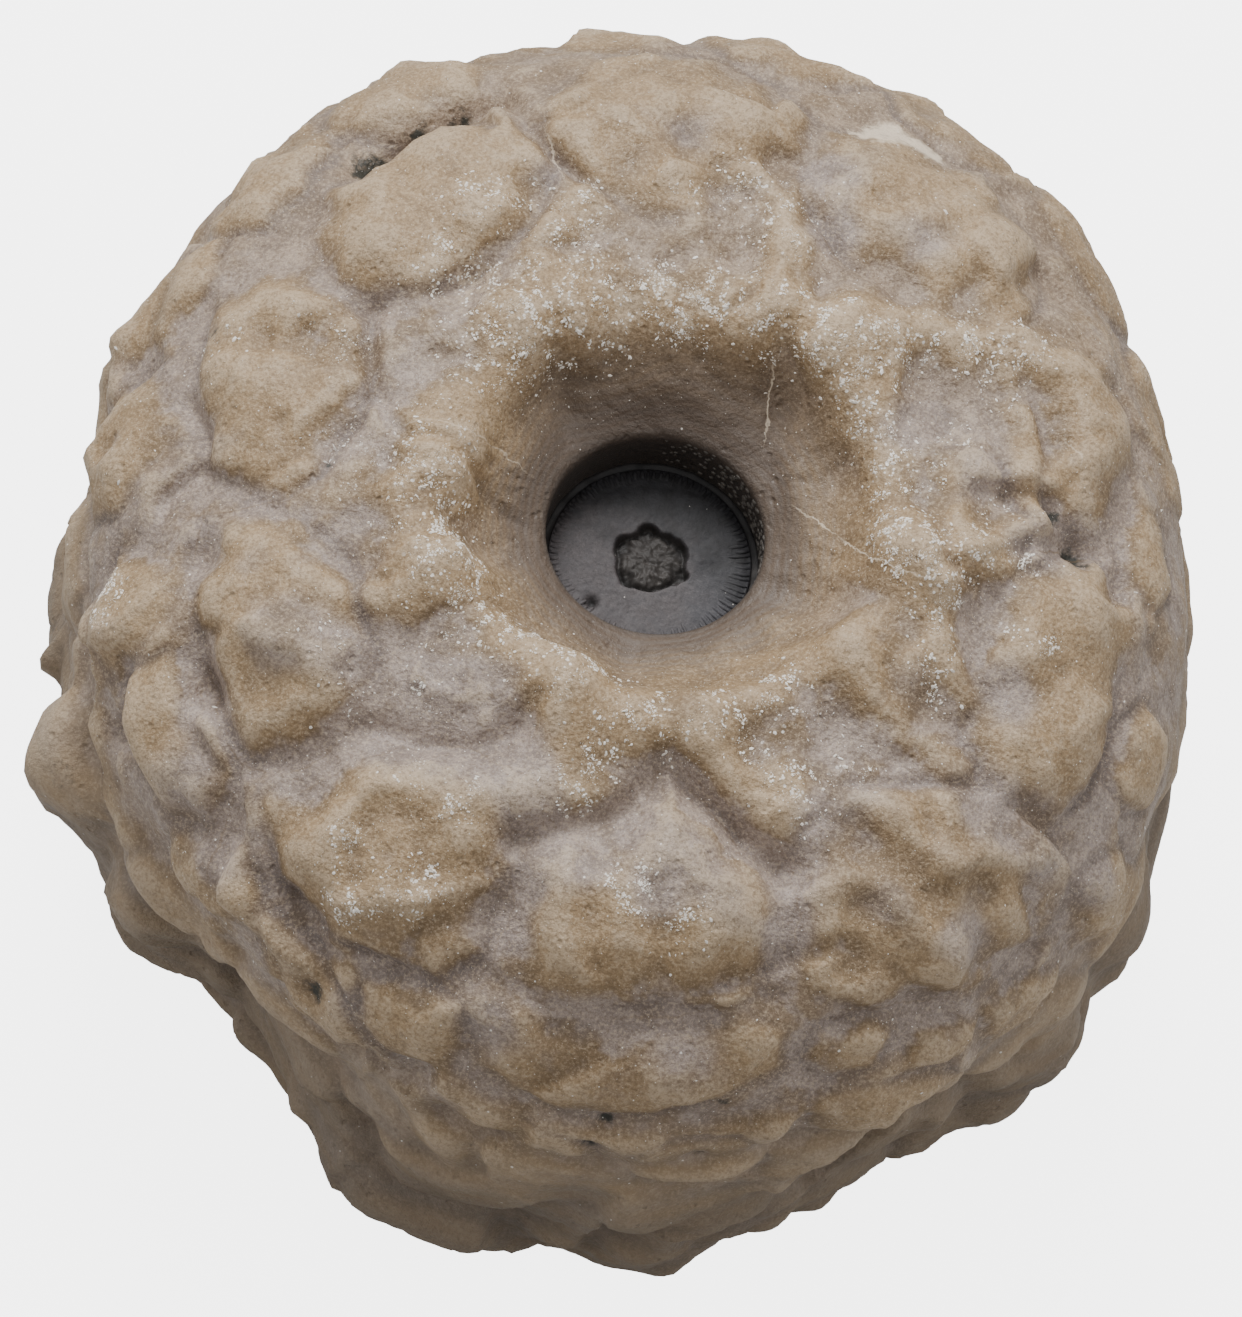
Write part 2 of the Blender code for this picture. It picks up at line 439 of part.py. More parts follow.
def relief(azimuth, out, points):
    """Height of the surface over the smooth body, in millimetres."""
    height = plate_heights(points) * fade((out - 0.2) / 2.2)
    for line, half_width, rise in RIDGES:
        height = height + rise * np.exp(-(distance_to_line(points, line) / half_width) ** 2)
    for spot_azimuth, spot_out, radius, rise in SPOTS:
        distance = np.linalg.norm(points - one_point(spot_azimuth, spot_out), axis=-1)
        height = height + rise * np.exp(-1.2 * (distance / radius) ** 2)
    for line, half_width, depth in CREASES:
        height = height - depth * np.exp(-(distance_to_line(points, line) / half_width) ** 2)
    height = height + rough_waves(points, longest=5.0, height=0.10, layers=2, seed=3)
    height = height + worn_facets(points, spacing=2.2, tilt=0.10, seed=5) * fade((out + 2.0) / 3.0)
    above_socket = fade((out + 6.7) / 2.6)
    clear_of_rest = 1.0 - fade((out - 36.0) / 3.0)
    return height * above_socket * clear_of_rest


# ---- the two pieces ----
def add_object(name, vertices, faces, material):
    mesh = bpy.data.meshes.new(name)
    mesh.from_pydata(vertices.tolist(), [], faces)
    mesh.update()
    mesh.shade_smooth()
    mesh.materials.append(material)
    piece = bpy.data.objects.new(name, mesh)
    bpy.context.scene.collection.objects.link(piece)
    return piece


def tube_faces(columns, rows, first_pole, last_pole):
    """Faces of a closed skin of columns x rows points, with a single point at each end."""
    faces = []
    for i in range(columns):
        here, beside = i * rows, (i + 1) % columns * rows
        faces.append((first_pole, here, beside))
        faces.extend((here + k, here + k + 1, beside + k + 1, beside + k) for k in range(rows - 1))
        faces.append((last_pole, beside + rows - 1, here + rows - 1))
    return faces


def build_cup():
    """The whole cup: one closed skin from the socket floor round to the rest patch."""
    azimuths = np.arange(CUP_AROUND) * 360.0 / CUP_AROUND
    outs = np.linspace(FIRST_OUT, LAST_OUT, CUP_ALONG)
    azimuth, out = np.meshgrid(azimuths, outs[1:-1], indexing="ij")
    points = body_point(azimuth, out)
    raised = points + body_normal(azimuth, out) * relief(azimuth, out, points)[..., None]
    poles = np.array([[0.0, 0.0, SOCKET_FLOOR], [0.0, 0.0, 0.0]])
    vertices = np.vstack([raised.reshape(-1, 3), poles]) * MM
    rows = len(outs) - 2
    faces = tube_faces(CUP_AROUND, rows, len(vertices) - 2, len(vertices) - 1)
    cup = add_object("calyx", vertices, faces, stone("calyx_stone", (0.33, 0.26, 0.18), 0.55))
    thin = cup.modifiers.new("fewer faces", "DECIMATE")
    thin.ratio = CUP_TRIANGLES / (2.0 * CUP_AROUND * rows)
    return cup


def build_disc():
    """The last disc of the stem: a thin round plate with a five-lobed hollow, filled in its middle."""
    columns = 80
    lumen_radius, lobe_depth = 1.45, 0.22
    fill_depth = 0.3
    bevel = 0.15
    azimuths = np.arange(columns) * 360.0 / columns
    lobes = sum(hump(turn_between(azimuths, lobe) / 30.0) for lobe in LUMEN_LOBES)
    lumen = lumen_radius + lobe_depth * (lobes - 0.5)
    bottom = FACE_HEIGHT - DISC_THICKNESS
    rings = [
        (0.55 * lumen, FACE_HEIGHT - fill_depth), (0.85 * lumen, FACE_HEIGHT - fill_depth - 0.4 * lobes),
        (lumen, FACE_HEIGHT), (2.6, FACE_HEIGHT), (DISC_RADIUS - bevel, FACE_HEIGHT),
        (DISC_RADIUS, FACE_HEIGHT - bevel), (DISC_RADIUS, bottom + bevel), (DISC_RADIUS - bevel, bottom),
    ]
    angles = np.radians(azimuths)
    skin = np.array([np.stack([radius * np.cos(angles), radius * np.sin(angles), height + 0.0 * angles])
                     for radius, height in rings])
    poles = np.array([[0.0, 0.0, FACE_HEIGHT - fill_depth], [0.0, 0.0, bottom]])
    vertices = np.vstack([skin.transpose(2, 0, 1).reshape(-1, 3), poles]) * MM
    faces = tube_faces(columns, len(rings), len(vertices) - 2, len(vertices) - 1)
    disc = add_object("stem_columnal", vertices, faces, stone("disc_stone", (0.12, 0.12, 0.13), 0.5))
    disc.data.set_sharp_from_angle(angle=np.radians(40.0))
    return disc


clear_scene()
build_cup()
build_disc()
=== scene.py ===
# %% [markdown]
# # A fossil crinoid cup
# A crinoid, or sea lily, sat on a stem of stone discs and caught food with its arms. Its body was
# a cup, the calyx, of swollen plates. This one has turned to stone and lies with its base up, so
# the pit where the stem was joined is on top, and the last stem disc is still lodged at its
# bottom.
#
# The solid model comes first and stays as it is. Everything made below lies in its frame: metres,
# +Z along the stem axis, and the origin in the middle of the patch that the cup rests on.

# %% Load the solid model
import math

import bpy
import numpy as np
from mathutils import Matrix, Vector


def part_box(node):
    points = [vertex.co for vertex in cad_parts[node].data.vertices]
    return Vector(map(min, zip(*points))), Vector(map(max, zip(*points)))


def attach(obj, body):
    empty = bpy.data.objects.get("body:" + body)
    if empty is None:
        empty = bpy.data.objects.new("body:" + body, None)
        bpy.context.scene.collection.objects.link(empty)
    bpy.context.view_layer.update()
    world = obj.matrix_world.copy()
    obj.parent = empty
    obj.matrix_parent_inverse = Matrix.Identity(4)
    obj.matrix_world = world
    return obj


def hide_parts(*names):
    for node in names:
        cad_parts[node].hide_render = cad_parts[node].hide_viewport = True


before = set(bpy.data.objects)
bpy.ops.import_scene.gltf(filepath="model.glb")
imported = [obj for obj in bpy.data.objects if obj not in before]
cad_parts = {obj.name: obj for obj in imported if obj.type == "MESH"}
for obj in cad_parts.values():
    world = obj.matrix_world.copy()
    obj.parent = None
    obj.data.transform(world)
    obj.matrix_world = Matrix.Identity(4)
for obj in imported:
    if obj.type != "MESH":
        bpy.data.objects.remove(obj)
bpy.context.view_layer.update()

MM = 0.001
DISC_LOW, DISC_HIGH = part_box("stem_columnal")

# %% [markdown]
# ## The smooth body
# Think of a potter's cup before any decoration. It could be sculpted by hand, but numbers are easy
# to change later and give the same cup every time. Its half section is a line of (radius, height)
# points, turned round the stem axis, and the radius is then widened or narrowed by azimuth. A
# place on it is an azimuth (degrees, 0 = +X, 90 = +Y) and a distance out from the crest of the
# pit's rim (mm, negative inside the pit). All the relief below is laid on with these two numbers,
# so it stays on the surface from every side.

# %% Section and plan of the cup
HEIGHT, RIM_RADIUS, SOCKET_RADIUS, SOCKET_GAP = 27.5, 9.7, 4.3, 0.3
FACE_HEIGHT = DISC_HIGH.z / MM
SOCKET_FLOOR = DISC_LOW.z / MM - SOCKET_GAP
PROFILE = [
    (0.0, SOCKET_FLOOR), (SOCKET_RADIUS, SOCKET_FLOOR), (SOCKET_RADIUS, HEIGHT - 3.3),
    (5.4, HEIGHT - 2.6), (6.9, HEIGHT - 1.7), (8.2, HEIGHT - 0.7), (RIM_RADIUS, HEIGHT),
    (13.0, HEIGHT - 0.5), (17.0, HEIGHT - 1.6), (20.4, HEIGHT - 3.4), (22.6, HEIGHT - 6.0),
    (23.7, HEIGHT - 9.5), (23.9, HEIGHT - 13.5), (24.2, HEIGHT - 18.0), (23.4, HEIGHT - 22.0),
    (20.6, HEIGHT - 25.3), (16.5, HEIGHT - 27.1), (13.0, 0.0), (0.0, 0.0),
]
CREST = PROFILE.index((RIM_RADIUS, HEIGHT))
STRAIGHT_START, STRAIGHT_END = 3, 3  # so many stretches at each end of the section are straight
BODY_RADIUS, PLAN_BLEND = 24.0, 10.0
# radius of the widest part, every 30 degrees
PLAN_RADII = (22.3, 22.7, 24.9, 25.3, 24.9, 23.8, 22.7, 22.8, 23.3, 23.9, 24.0, 23.0)
# azimuth, half width, push, middle and half length along the wall
ARM_SWELLS = [
    (207, 10, 1.6, 22.5, 4.0), (208, 6, -1.3, 31.0, 6.0), (222, 8, 1.1, 23.0, 4.0),
    (234, 26, -3.2, 28.0, 13.0), (252, 9, 1.0, 29.0, 6.0), (276, 19, -0.8, 29.0, 8.0),
    (283, 8, 0.6, 31.0, 5.0), (296, 9, -0.6, 31.0, 5.0), (309, 26, -2.0, 28.0, 12.0),
    (329, 11, 0.8, 27.0, 5.0), (336, 8, -0.9, 27.0, 6.0), (344, 7, 0.5, 26.0, 5.0),
    (352, 16, -0.7, 23.0, 6.0), (170, 22, -0.5, 18.0, 7.0), (150, 16, 0.5, 18.0, 6.0),
    (104, 10, -0.5, 15.0, 5.0), (173, 7, -0.5, 24.0, 4.0), (221, 7, 0.8, 29.0, 9.0),
    (134, 7, 0.5, 16.0, 4.0), (340, 5, -0.4, 30.0, 4.0),
]
SECTION = np.array(PROFILE)
DISTANCES = np.concatenate([[0.0], np.cumsum(np.hypot(*np.diff(SECTION, axis=0).T))])
DISTANCES -= DISTANCES[CREST]
FIRST_OUT, LAST_OUT = DISTANCES[0], DISTANCES[-1]
print("the surface runs from", round(FIRST_OUT, 1), "to", round(LAST_OUT, 1), "mm from the crest")


# %% Soft steps and smooth curves
def fade(x):
    """Smooth step from 0 at x = 0 to 1 at x = 1."""
    x = np.clip(x, 0.0, 1.0)
    return x * x * (3.0 - 2.0 * x)


def hump(x):
    """Round hump: 1 at x = 0, 0 from |x| = 1 on."""
    return (1.0 - np.clip(np.abs(x), 0.0, 1.0) ** 2) ** 2


def turn_between(azimuth, other):
    return (azimuth - other + 180.0) % 360.0 - 180.0


def smooth_curve(values, at, closed):
    """Catmull-Rom curve through evenly numbered values, read at fractional places."""
    values = np.asarray(values, float)
    count = len(values)
    first = np.floor(at).astype(int)
    f = at - first
    if values.ndim > 1:
        f = f[..., None]

    def value(k):
        return values[k % count] if closed else values[np.clip(k, 0, count - 1)]

    a, b, c, d = value(first - 1), value(first), value(first + 1), value(first + 2)
    return 0.5 * (2 * b + (c - a) * f + (2 * a - 5 * b + 4 * c - d) * f**2
                  + (3 * b - a - 3 * c + d) * f**3)


# %% Points and normals of the smooth body
def section_point(out):
    """Radius and height of the half section at a distance out from the crest."""
    piece = np.clip(np.searchsorted(DISTANCES, out, side="right") - 1, 0, len(SECTION) - 2)
    f = (out - DISTANCES[piece]) / (DISTANCES[piece + 1] - DISTANCES[piece])
    curve = smooth_curve(SECTION, piece + f, closed=False)
    straight = SECTION[piece] + (SECTION[piece + 1] - SECTION[piece]) * f[..., None]
    is_straight = (piece < STRAIGHT_START) | (piece > len(SECTION) - 1 - STRAIGHT_END)
    return np.where(is_straight[..., None], straight, curve)


def around_axis(azimuth, radius, height):
    """Points at these azimuths (degrees), radii and heights (mm)."""
    angle = np.radians(azimuth)
    return np.stack([radius * np.cos(angle), radius * np.sin(angle), height + 0 * azimuth], axis=-1)


def body_point(azimuth, out):
    section = section_point(out)
    radius, height = section[..., 0], section[..., 1]
    steps = (azimuth % 360.0) / (360.0 / len(PLAN_RADII))
    wide = smooth_curve(PLAN_RADII, steps, closed=True) / BODY_RADIUS
    radius = radius * (1.0 + (wide - 1.0) * fade((radius - RIM_RADIUS) / PLAN_BLEND))
    for middle, half_width, push, out_middle, half_length in ARM_SWELLS:
        around = hump(turn_between(azimuth, middle) / half_width)
        radius = radius + push * around * hump((out - out_middle) / half_length)
    return around_axis(azimuth, radius, height)


def body_normal(azimuth, out):
    step_out, step_azimuth = 0.05, 0.2
    along = (body_point(azimuth, np.minimum(out + step_out, LAST_OUT))
             - body_point(azimuth, np.maximum(out - step_out, FIRST_OUT)))
    around = body_point(azimuth + step_azimuth, out) - body_point(azimuth - step_azimuth, out)
    normal = np.cross(along, around)
    return normal / np.maximum(np.linalg.norm(normal, axis=-1, keepdims=True), 1e-9)


def one_point(azimuth, out):
    return body_point(np.array([float(azimuth)]), np.array([float(out)]))[0]


# %% [markdown]
# ## The plates
# The cup of a living crinoid is a mosaic of limestone plates, each grown from its own middle. A
# ring of ten big ones stands round the stem pit, with smaller ones on the shoulder and rows of
# small ones down the wall. A cell pattern could make such a mosaic in one step, but its plates
# would lie anywhere. Here each plate that shows has its own outline, and only the rows low on the
# wall are placed by a rule. Each is swollen inside its outline: steep at the edge, then rounded
# over. Between the outlines lie shallow valleys.

# %% Outlines of the plates on top
# rise, then the corners of the outline (azimuth, out)
TOP_PLATES = [
    (0.90, [(150, 9), (143, 10), (138, 9.4), (132, 9.2), (126, 9.4), (121, 8.8), (118, 7.4),
            (117, 5.5), (122, 3.8), (132, 2.8), (143, 3.1), (152, 4.5), (154, 6.4)]),
    (0.74, [(114, 8.6), (116, 6.6), (114, 5), (108, 3.3), (102, 2.7), (94, 3), (89, 4.5), (82, 5),
            (82, 6.8), (82, 8.8), (88, 10.6), (96, 11.6), (106, 11)]),
    (0.90, [(80, 8.5), (80, 6.8), (79, 5.3), (74, 4.5), (68, 3.6), (58, 3.3), (50, 4.3), (44, 5.8),
            (43, 8), (47, 9.9), (52, 11.3), (60, 10.8), (67, 10.2), (74, 9.7)]),
    (0.62, [(40, 5.8), (38, 8.3), (36, 10.3), (32, 12.3), (27, 12.7), (20, 10.8), (12, 9.4),
            (12, 6.9), (18, 6.1), (24, 6.9), (31, 6.8)]),
    (0.86, [(2, 5.6), (6, 7), (8, 9.1), (4, 10.8), (357, 11.3), (347, 11.7), (340, 12), (333, 11.4),
           (330, 9.6), (330, 7.4), (332, 5.9), (340, 5.4), (343, 4.1), (352, 4.1)]),
    (0.74, [(298, 6.7), (303, 5.2), (312, 4.6), (320, 5.3), (326, 6.9), (330, 9), (332, 11.5),
           (330, 13.4), (325, 14.4), (318, 14.4), (311, 13.4), (304, 12.3), (298, 10.9),
           (296, 8.8)]),
    (0.90, [(282, 2.1), (277, 3.6), (272, 5), (264, 5.9), (262, 7.5), (264, 9.8), (267, 11),
           (274, 11.1), (281, 10.8), (288, 11), (293, 10.2), (296, 8.8), (297, 7.1), (293, 5.4),
           (288, 3.6)]),
    (0.82, [(230, 10.8), (232, 8.8), (234, 7), (239, 5.1), (246, 3.8), (254, 4.3), (259, 5.8),
           (259, 8.3), (261, 10.5), (257, 11.9), (250, 12.4), (244, 12.8), (237, 12.6)]),
    (0.98, [(194, 8.7), (193, 6.8), (196, 4.9), (201, 3.7), (210, 3.1), (222, 3.6), (229, 5.1),
            (230, 7), (228, 9.1), (224, 10.3), (217, 10.4), (207, 10.3), (201, 9.9)]),
    (0.78, [(166, 11.3), (158, 10.4), (155, 8.5), (156, 6.2), (158, 4.5), (166, 3.2), (176, 2.8),
           (184, 3.6), (190, 5), (192, 6.2), (190, 7.6), (184, 9.1), (176, 10.4)]),
    # a small one near the rim
    (0.35, [(20, 0.7), (24, 1.6), (25, 2.9), (22, 3.8), (15, 4.1), (10, 5), (3, 5), (357, 3.8),
           (356, 2.4), (358, 1.7), (6, 0.7)]),
    # the row outside the ring, where it shows most
    (0.23, [(262, 12.6), (267, 12.3), (277, 12.3), (284, 12), (290, 11.8), (294, 12.4), (294, 13.8),
           (288, 14.8), (282, 15.5), (277, 16), (272, 15.8), (264, 14.8)]),
    (0.55, [(194, 12.6), (196, 10.9), (200, 10.6), (204, 11.6), (206, 12.8), (207, 15), (203, 15.7),
           (197, 15.3), (193, 14.2)]),
    (0.70, [(208, 11.8), (212, 11), (219, 11), (225, 11.6), (227, 13.6), (222, 14.8), (216, 15.4),
           (211, 15.4), (208, 13.8)]),
    (0.47, [(228, 13.6), (231, 12.6), (236, 13.8), (235, 16.6), (229, 18.6), (223, 18),
           (225, 15.5)]),
    (0.47, [(238, 14.2), (244, 14), (249, 14.8), (253, 17.2), (250, 19.4), (243, 18.6)]),
    (0.55, [(250, 13.6), (254, 12.9), (260, 12.6), (261, 14.4), (261, 16.6), (256, 16.6),
           (252, 15.2)]),
    (0.47, [(332, 14.2), (336, 14.6), (341, 16), (342, 19), (336, 20), (330, 17.5)]),
    (0.39, [(343, 12.6), (350, 12.2), (355, 13.2), (354, 15.6), (346, 16.4), (343, 14.6)]),
    (0.39, [(18, 11.7), (16, 13.4), (9, 14), (5, 12.6), (8, 10.6), (13, 10.5)]),
    (0.31, [(298, 12.7), (303, 12.8), (306, 13.8), (303, 14.9), (298, 14.9), (296, 13.8)]),
    (0.35, [(308, 14), (312, 14.6), (315, 15.8), (311, 16.6), (307, 15.6)]),
    (0.35, [(316, 15.4), (322, 15.8), (327, 17.4), (323, 19.2), (317, 18.4)]),
    (0.30, [(297, 16), (303, 15.9), (309, 17), (314, 18.6), (311, 20.8), (303, 20.4), (297, 18.4)]),
    (0.25, [(264, 17), (270, 17.2), (276, 18.2), (276, 20.8), (269, 21.2), (263, 19.6)]),
]
# azimuth, out, half width round the cup, half width outwards, rise
OVAL_PLATES = [
    (179, 14.4, 3.4, 2.8, 0.5), (161, 14.8, 3.4, 2.8, 0.4), (145, 13.8, 3.6, 2.9, 0.4),
    (126, 13.6, 3.7, 2.9, 0.4), (106, 14.6, 3.7, 2.7, 0.25), (87, 14.2, 3.7, 2.8, 0.2),
    (68, 14.4, 3.6, 2.8, 0.15), (50, 15.4, 3.5, 2.9, 0.2), (31, 16.0, 3.8, 2.6, 0.25),
    (286, 19.4, 2.9, 1.8, 0.2),
]
# rows on the wall: out, count, rise
WALL_ROWS = [
    (20.6, 19, 0.50), (24.6, 17, 0.45), (28.6, 18, 0.50), (32.4, 16, 0.40), (35.8, 13, 0.30),
]
WALL_PLATE_LENGTH, WALL_PLATE_SHARE = 2.1, 0.90  # half length in mm, share of the row it fills
# sides where the wall is worn: azimuth, half width, how much of the rise is gone
WORN_SIDES = [(282, 55, 0.85), (12, 62, 0.60)]
print(len(TOP_PLATES), "outlines,", len(OVAL_PLATES), "ovals and", len(WALL_ROWS), "rows")


# %% Guessed plates
def oval_outline(azimuth, out, half_width, half_out, random):
    """Uneven many-sided outline about an oval."""
    corners = 7
    radius = np.hypot(*one_point(azimuth, out)[:2])
    turns = (np.arange(corners) + random.uniform(-0.25, 0.25, corners)) * 2 * np.pi / corners
    reach = random.uniform(0.94, 1.16, corners)
    around = np.degrees(half_width / radius) * reach * np.cos(turns)
    outward = half_out * reach * np.sin(turns)
    return list(zip(azimuth + around, out + outward))


def outer_plates():
    """The guessed plates: ovals on the far shoulder, and staggered rows down the wall."""
    random = np.random.default_rng(11)
    plates = [(rise, oval_outline(azimuth, out, half_width, half_out, random))
              for azimuth, out, half_width, half_out, rise in OVAL_PLATES]
    for row, (out, count, rise) in enumerate(WALL_ROWS):
        half_width = WALL_PLATE_SHARE * np.pi * np.hypot(*one_point(0.0, out)[:2]) / count
        for k in range(count):
            shift, slide, size, lift = random.uniform(-1.0, 1.0, 4)
            azimuth = (k + 0.5 * (row % 2) + 0.16 * shift) * 360.0 / count
            kept = np.prod([1.0 - worn * hump(turn_between(azimuth, side) / half_side)
                            for side, half_side, worn in WORN_SIDES])
            outline = oval_outline(azimuth, out + 0.7 * slide, half_width * (1.0 + 0.12 * size),
                                   WALL_PLATE_LENGTH * (1.0 - 0.1 * size), random)
            plates.append((rise * (1.0 + 0.4 * lift) * kept, outline))
    return plates


ALL_PLATES = TOP_PLATES + outer_plates()
print(len(ALL_PLATES), "plates")

# %% [markdown]
# ## Uneven stone
# Nothing on a fossil is quite even: it swells, wrinkles and wears into small dents. A noise
# texture on a Displace modifier could do that. Here the same noises are worked out in numbers,
# because the heights are wanted again further down, to tell the colours where crests and valleys
# are.

# %% Swells, lumps, wrinkles and dents
LATTICE_PRIMES = np.array([73856093, 19349663, 83492791])


def rough_waves(points, longest, height, layers, seed):
    """Uneven swell of the surface: a sum of waves in directions fixed by the seed."""
    random = np.random.default_rng(seed)
    total = np.zeros(points.shape[:-1])
    for layer in range(layers):
        for _ in range(6):
            direction = random.normal(size=3)
            direction *= 2 * np.pi * 1.9**layer / longest / np.linalg.norm(direction)
            total += 0.55**layer * np.sin(points @ direction + random.uniform(0, 2 * np.pi))
    return height * total / np.sqrt(6.0)


def lattice_number(corner):
    """A number from 0 to 255 for each corner of a cubic lattice, fixed but without pattern."""
    key = corner @ LATTICE_PRIMES
    return (key ^ (key >> 13)) & 255


def lumps(points, size, seed):
    """Uneven lumps of this size in mm, about -1 to 1: gradient noise on a cubic lattice."""
    leans = np.random.default_rng(seed).normal(size=(256, 3))
    cell = points / size
    corner = np.floor(cell).astype(np.int64)
    f = cell - corner
    ease = f**3 * (f * (f * 6 - 15) + 10)
    total = np.zeros(points.shape[:-1])
    for step in np.ndindex(2, 2, 2):
        lean = leans[lattice_number(corner + step)]
        weight = np.prod(np.where(step, ease, 1.0 - ease), axis=-1)
        total += weight * np.sum(lean * (f - step), axis=-1)
    return total


def wrinkles(points, size, seed):
    """Sharp little ridges this far apart in mm, about -0.5 to 0.5, stronger in some patches."""
    ridge = 0.5 - 1.6 * np.abs(lumps(points, size, seed))
    return ridge * np.clip(0.6 + lumps(points, 3.1 * size, seed + 40), 0.1, 1.2)


def scallops(points, size, seed):
    """Shallow dents with sharp edges between them: 0 inside a dent, about 0.5 at its edge."""
    jitter = np.random.default_rng(seed).uniform(size=(256, 3))
    cell = points / size
    corner = np.floor(cell).astype(np.int64)
    nearest = np.full(points.shape[:-1], np.inf)
    for step in np.ndindex(3, 3, 3):
        home = corner + step - 1
        offset = cell - home - jitter[lattice_number(home)]
        nearest = np.minimum(nearest, np.sum(offset * offset, axis=-1))
    return nearest


# %% Raise the plates
def outline_depth(points, corners):
    """How far inside an outline each point lies in mm (negative outside), and the most of it."""
    ring = np.array([one_point(*corner) for corner in corners])
    centre = ring.mean(axis=0)
    spokes = ring - centre
    normal = np.cross(spokes, np.roll(spokes, -1, axis=0)).sum(axis=0)
    normal /= np.linalg.norm(normal)
    across = np.cross(normal, spokes[0])
    across /= np.linalg.norm(across)
    plane = np.stack([np.cross(across, normal), across], axis=-1)
    offset = points - centre
    near = np.linalg.norm(offset, axis=-1) < np.linalg.norm(spokes, axis=-1).max() + 2.5
    flat, corner = offset[near] @ plane, spokes @ plane
    inside = np.zeros(len(flat), bool)
    distance = np.full(len(flat), np.inf)
    for start, end in zip(corner, np.roll(corner, -1, axis=0)):
        run, away = end - start, flat - start
        f = np.clip(away @ run / (run @ run), 0.0, 1.0)
        distance = np.minimum(distance, np.linalg.norm(away - f[:, None] * run, axis=-1))
        crosses = (start[1] > flat[:, 1]) != (end[1] > flat[:, 1])
        slope = run[0] / run[1] if run[1] else 0.0
        inside ^= crosses & (flat[:, 0] < start[0] + slope * (flat[:, 1] - start[1]))
    depth = np.full(points.shape[:-1], -np.inf)
    depth[near] = np.where(inside, distance, -distance)
    return depth, max(depth.max(), 0.5)


def plate_heights(points):
    """Height of the plates and valleys in mm, a mask of the valleys, and one of the seams."""
    valley_floor, groove, steep_share, dome_share = -0.15, 0.26, 0.66, 0.14
    height = np.full(points.shape[:-1], -1.0)
    nearest = np.full(points.shape[:-1], -np.inf)
    softness = rough_waves(points, longest=10.0, height=0.45, layers=2, seed=9)
    softness = np.clip(0.5 + softness, 0.0, 1.0)
    uneven_edge = rough_waves(points, longest=4.0, height=0.12, layers=2, seed=10)
    for rise, corners in ALL_PLATES:
        depth, deepest = outline_depth(points, corners)
        depth = depth + uneven_edge
        steep = np.clip(depth / (steep_share * deepest), 0.0, 1.0)
        profile = softness * fade(steep) + (1.0 - softness) * (1.0 - (1.0 - steep) ** 2)
        dome = dome_share * np.maximum(depth, 0.0) / deepest
        swell = rise * ((1.0 - dome_share) * profile + dome)
        height = np.maximum(height, np.where(depth > 0, swell, -1.0))
        nearest = np.maximum(nearest, depth)
    outside = valley_floor * fade(-nearest / 0.9)
    seam = (1.0 - 0.8 * softness) * np.exp(-((nearest + 0.2) / 0.25) ** 2)
    height = np.where(nearest > 0, height, outside) - groove * seam
    return height, fade(-nearest / 0.5), seam


# %% [markdown]
# ## Ridges, hollows and creases
# Each plate was strengthened by ridges that run from its middle to its neighbours, and the pit has
# a raised rim. Wear has left knobs, chips and hollows. They could be sculpted with a brush, but a
# stroke can't be read again later. So a ridge or a crease is a line through a few places with a
# width and a height, and a hollow or a knob is one place with a radius.

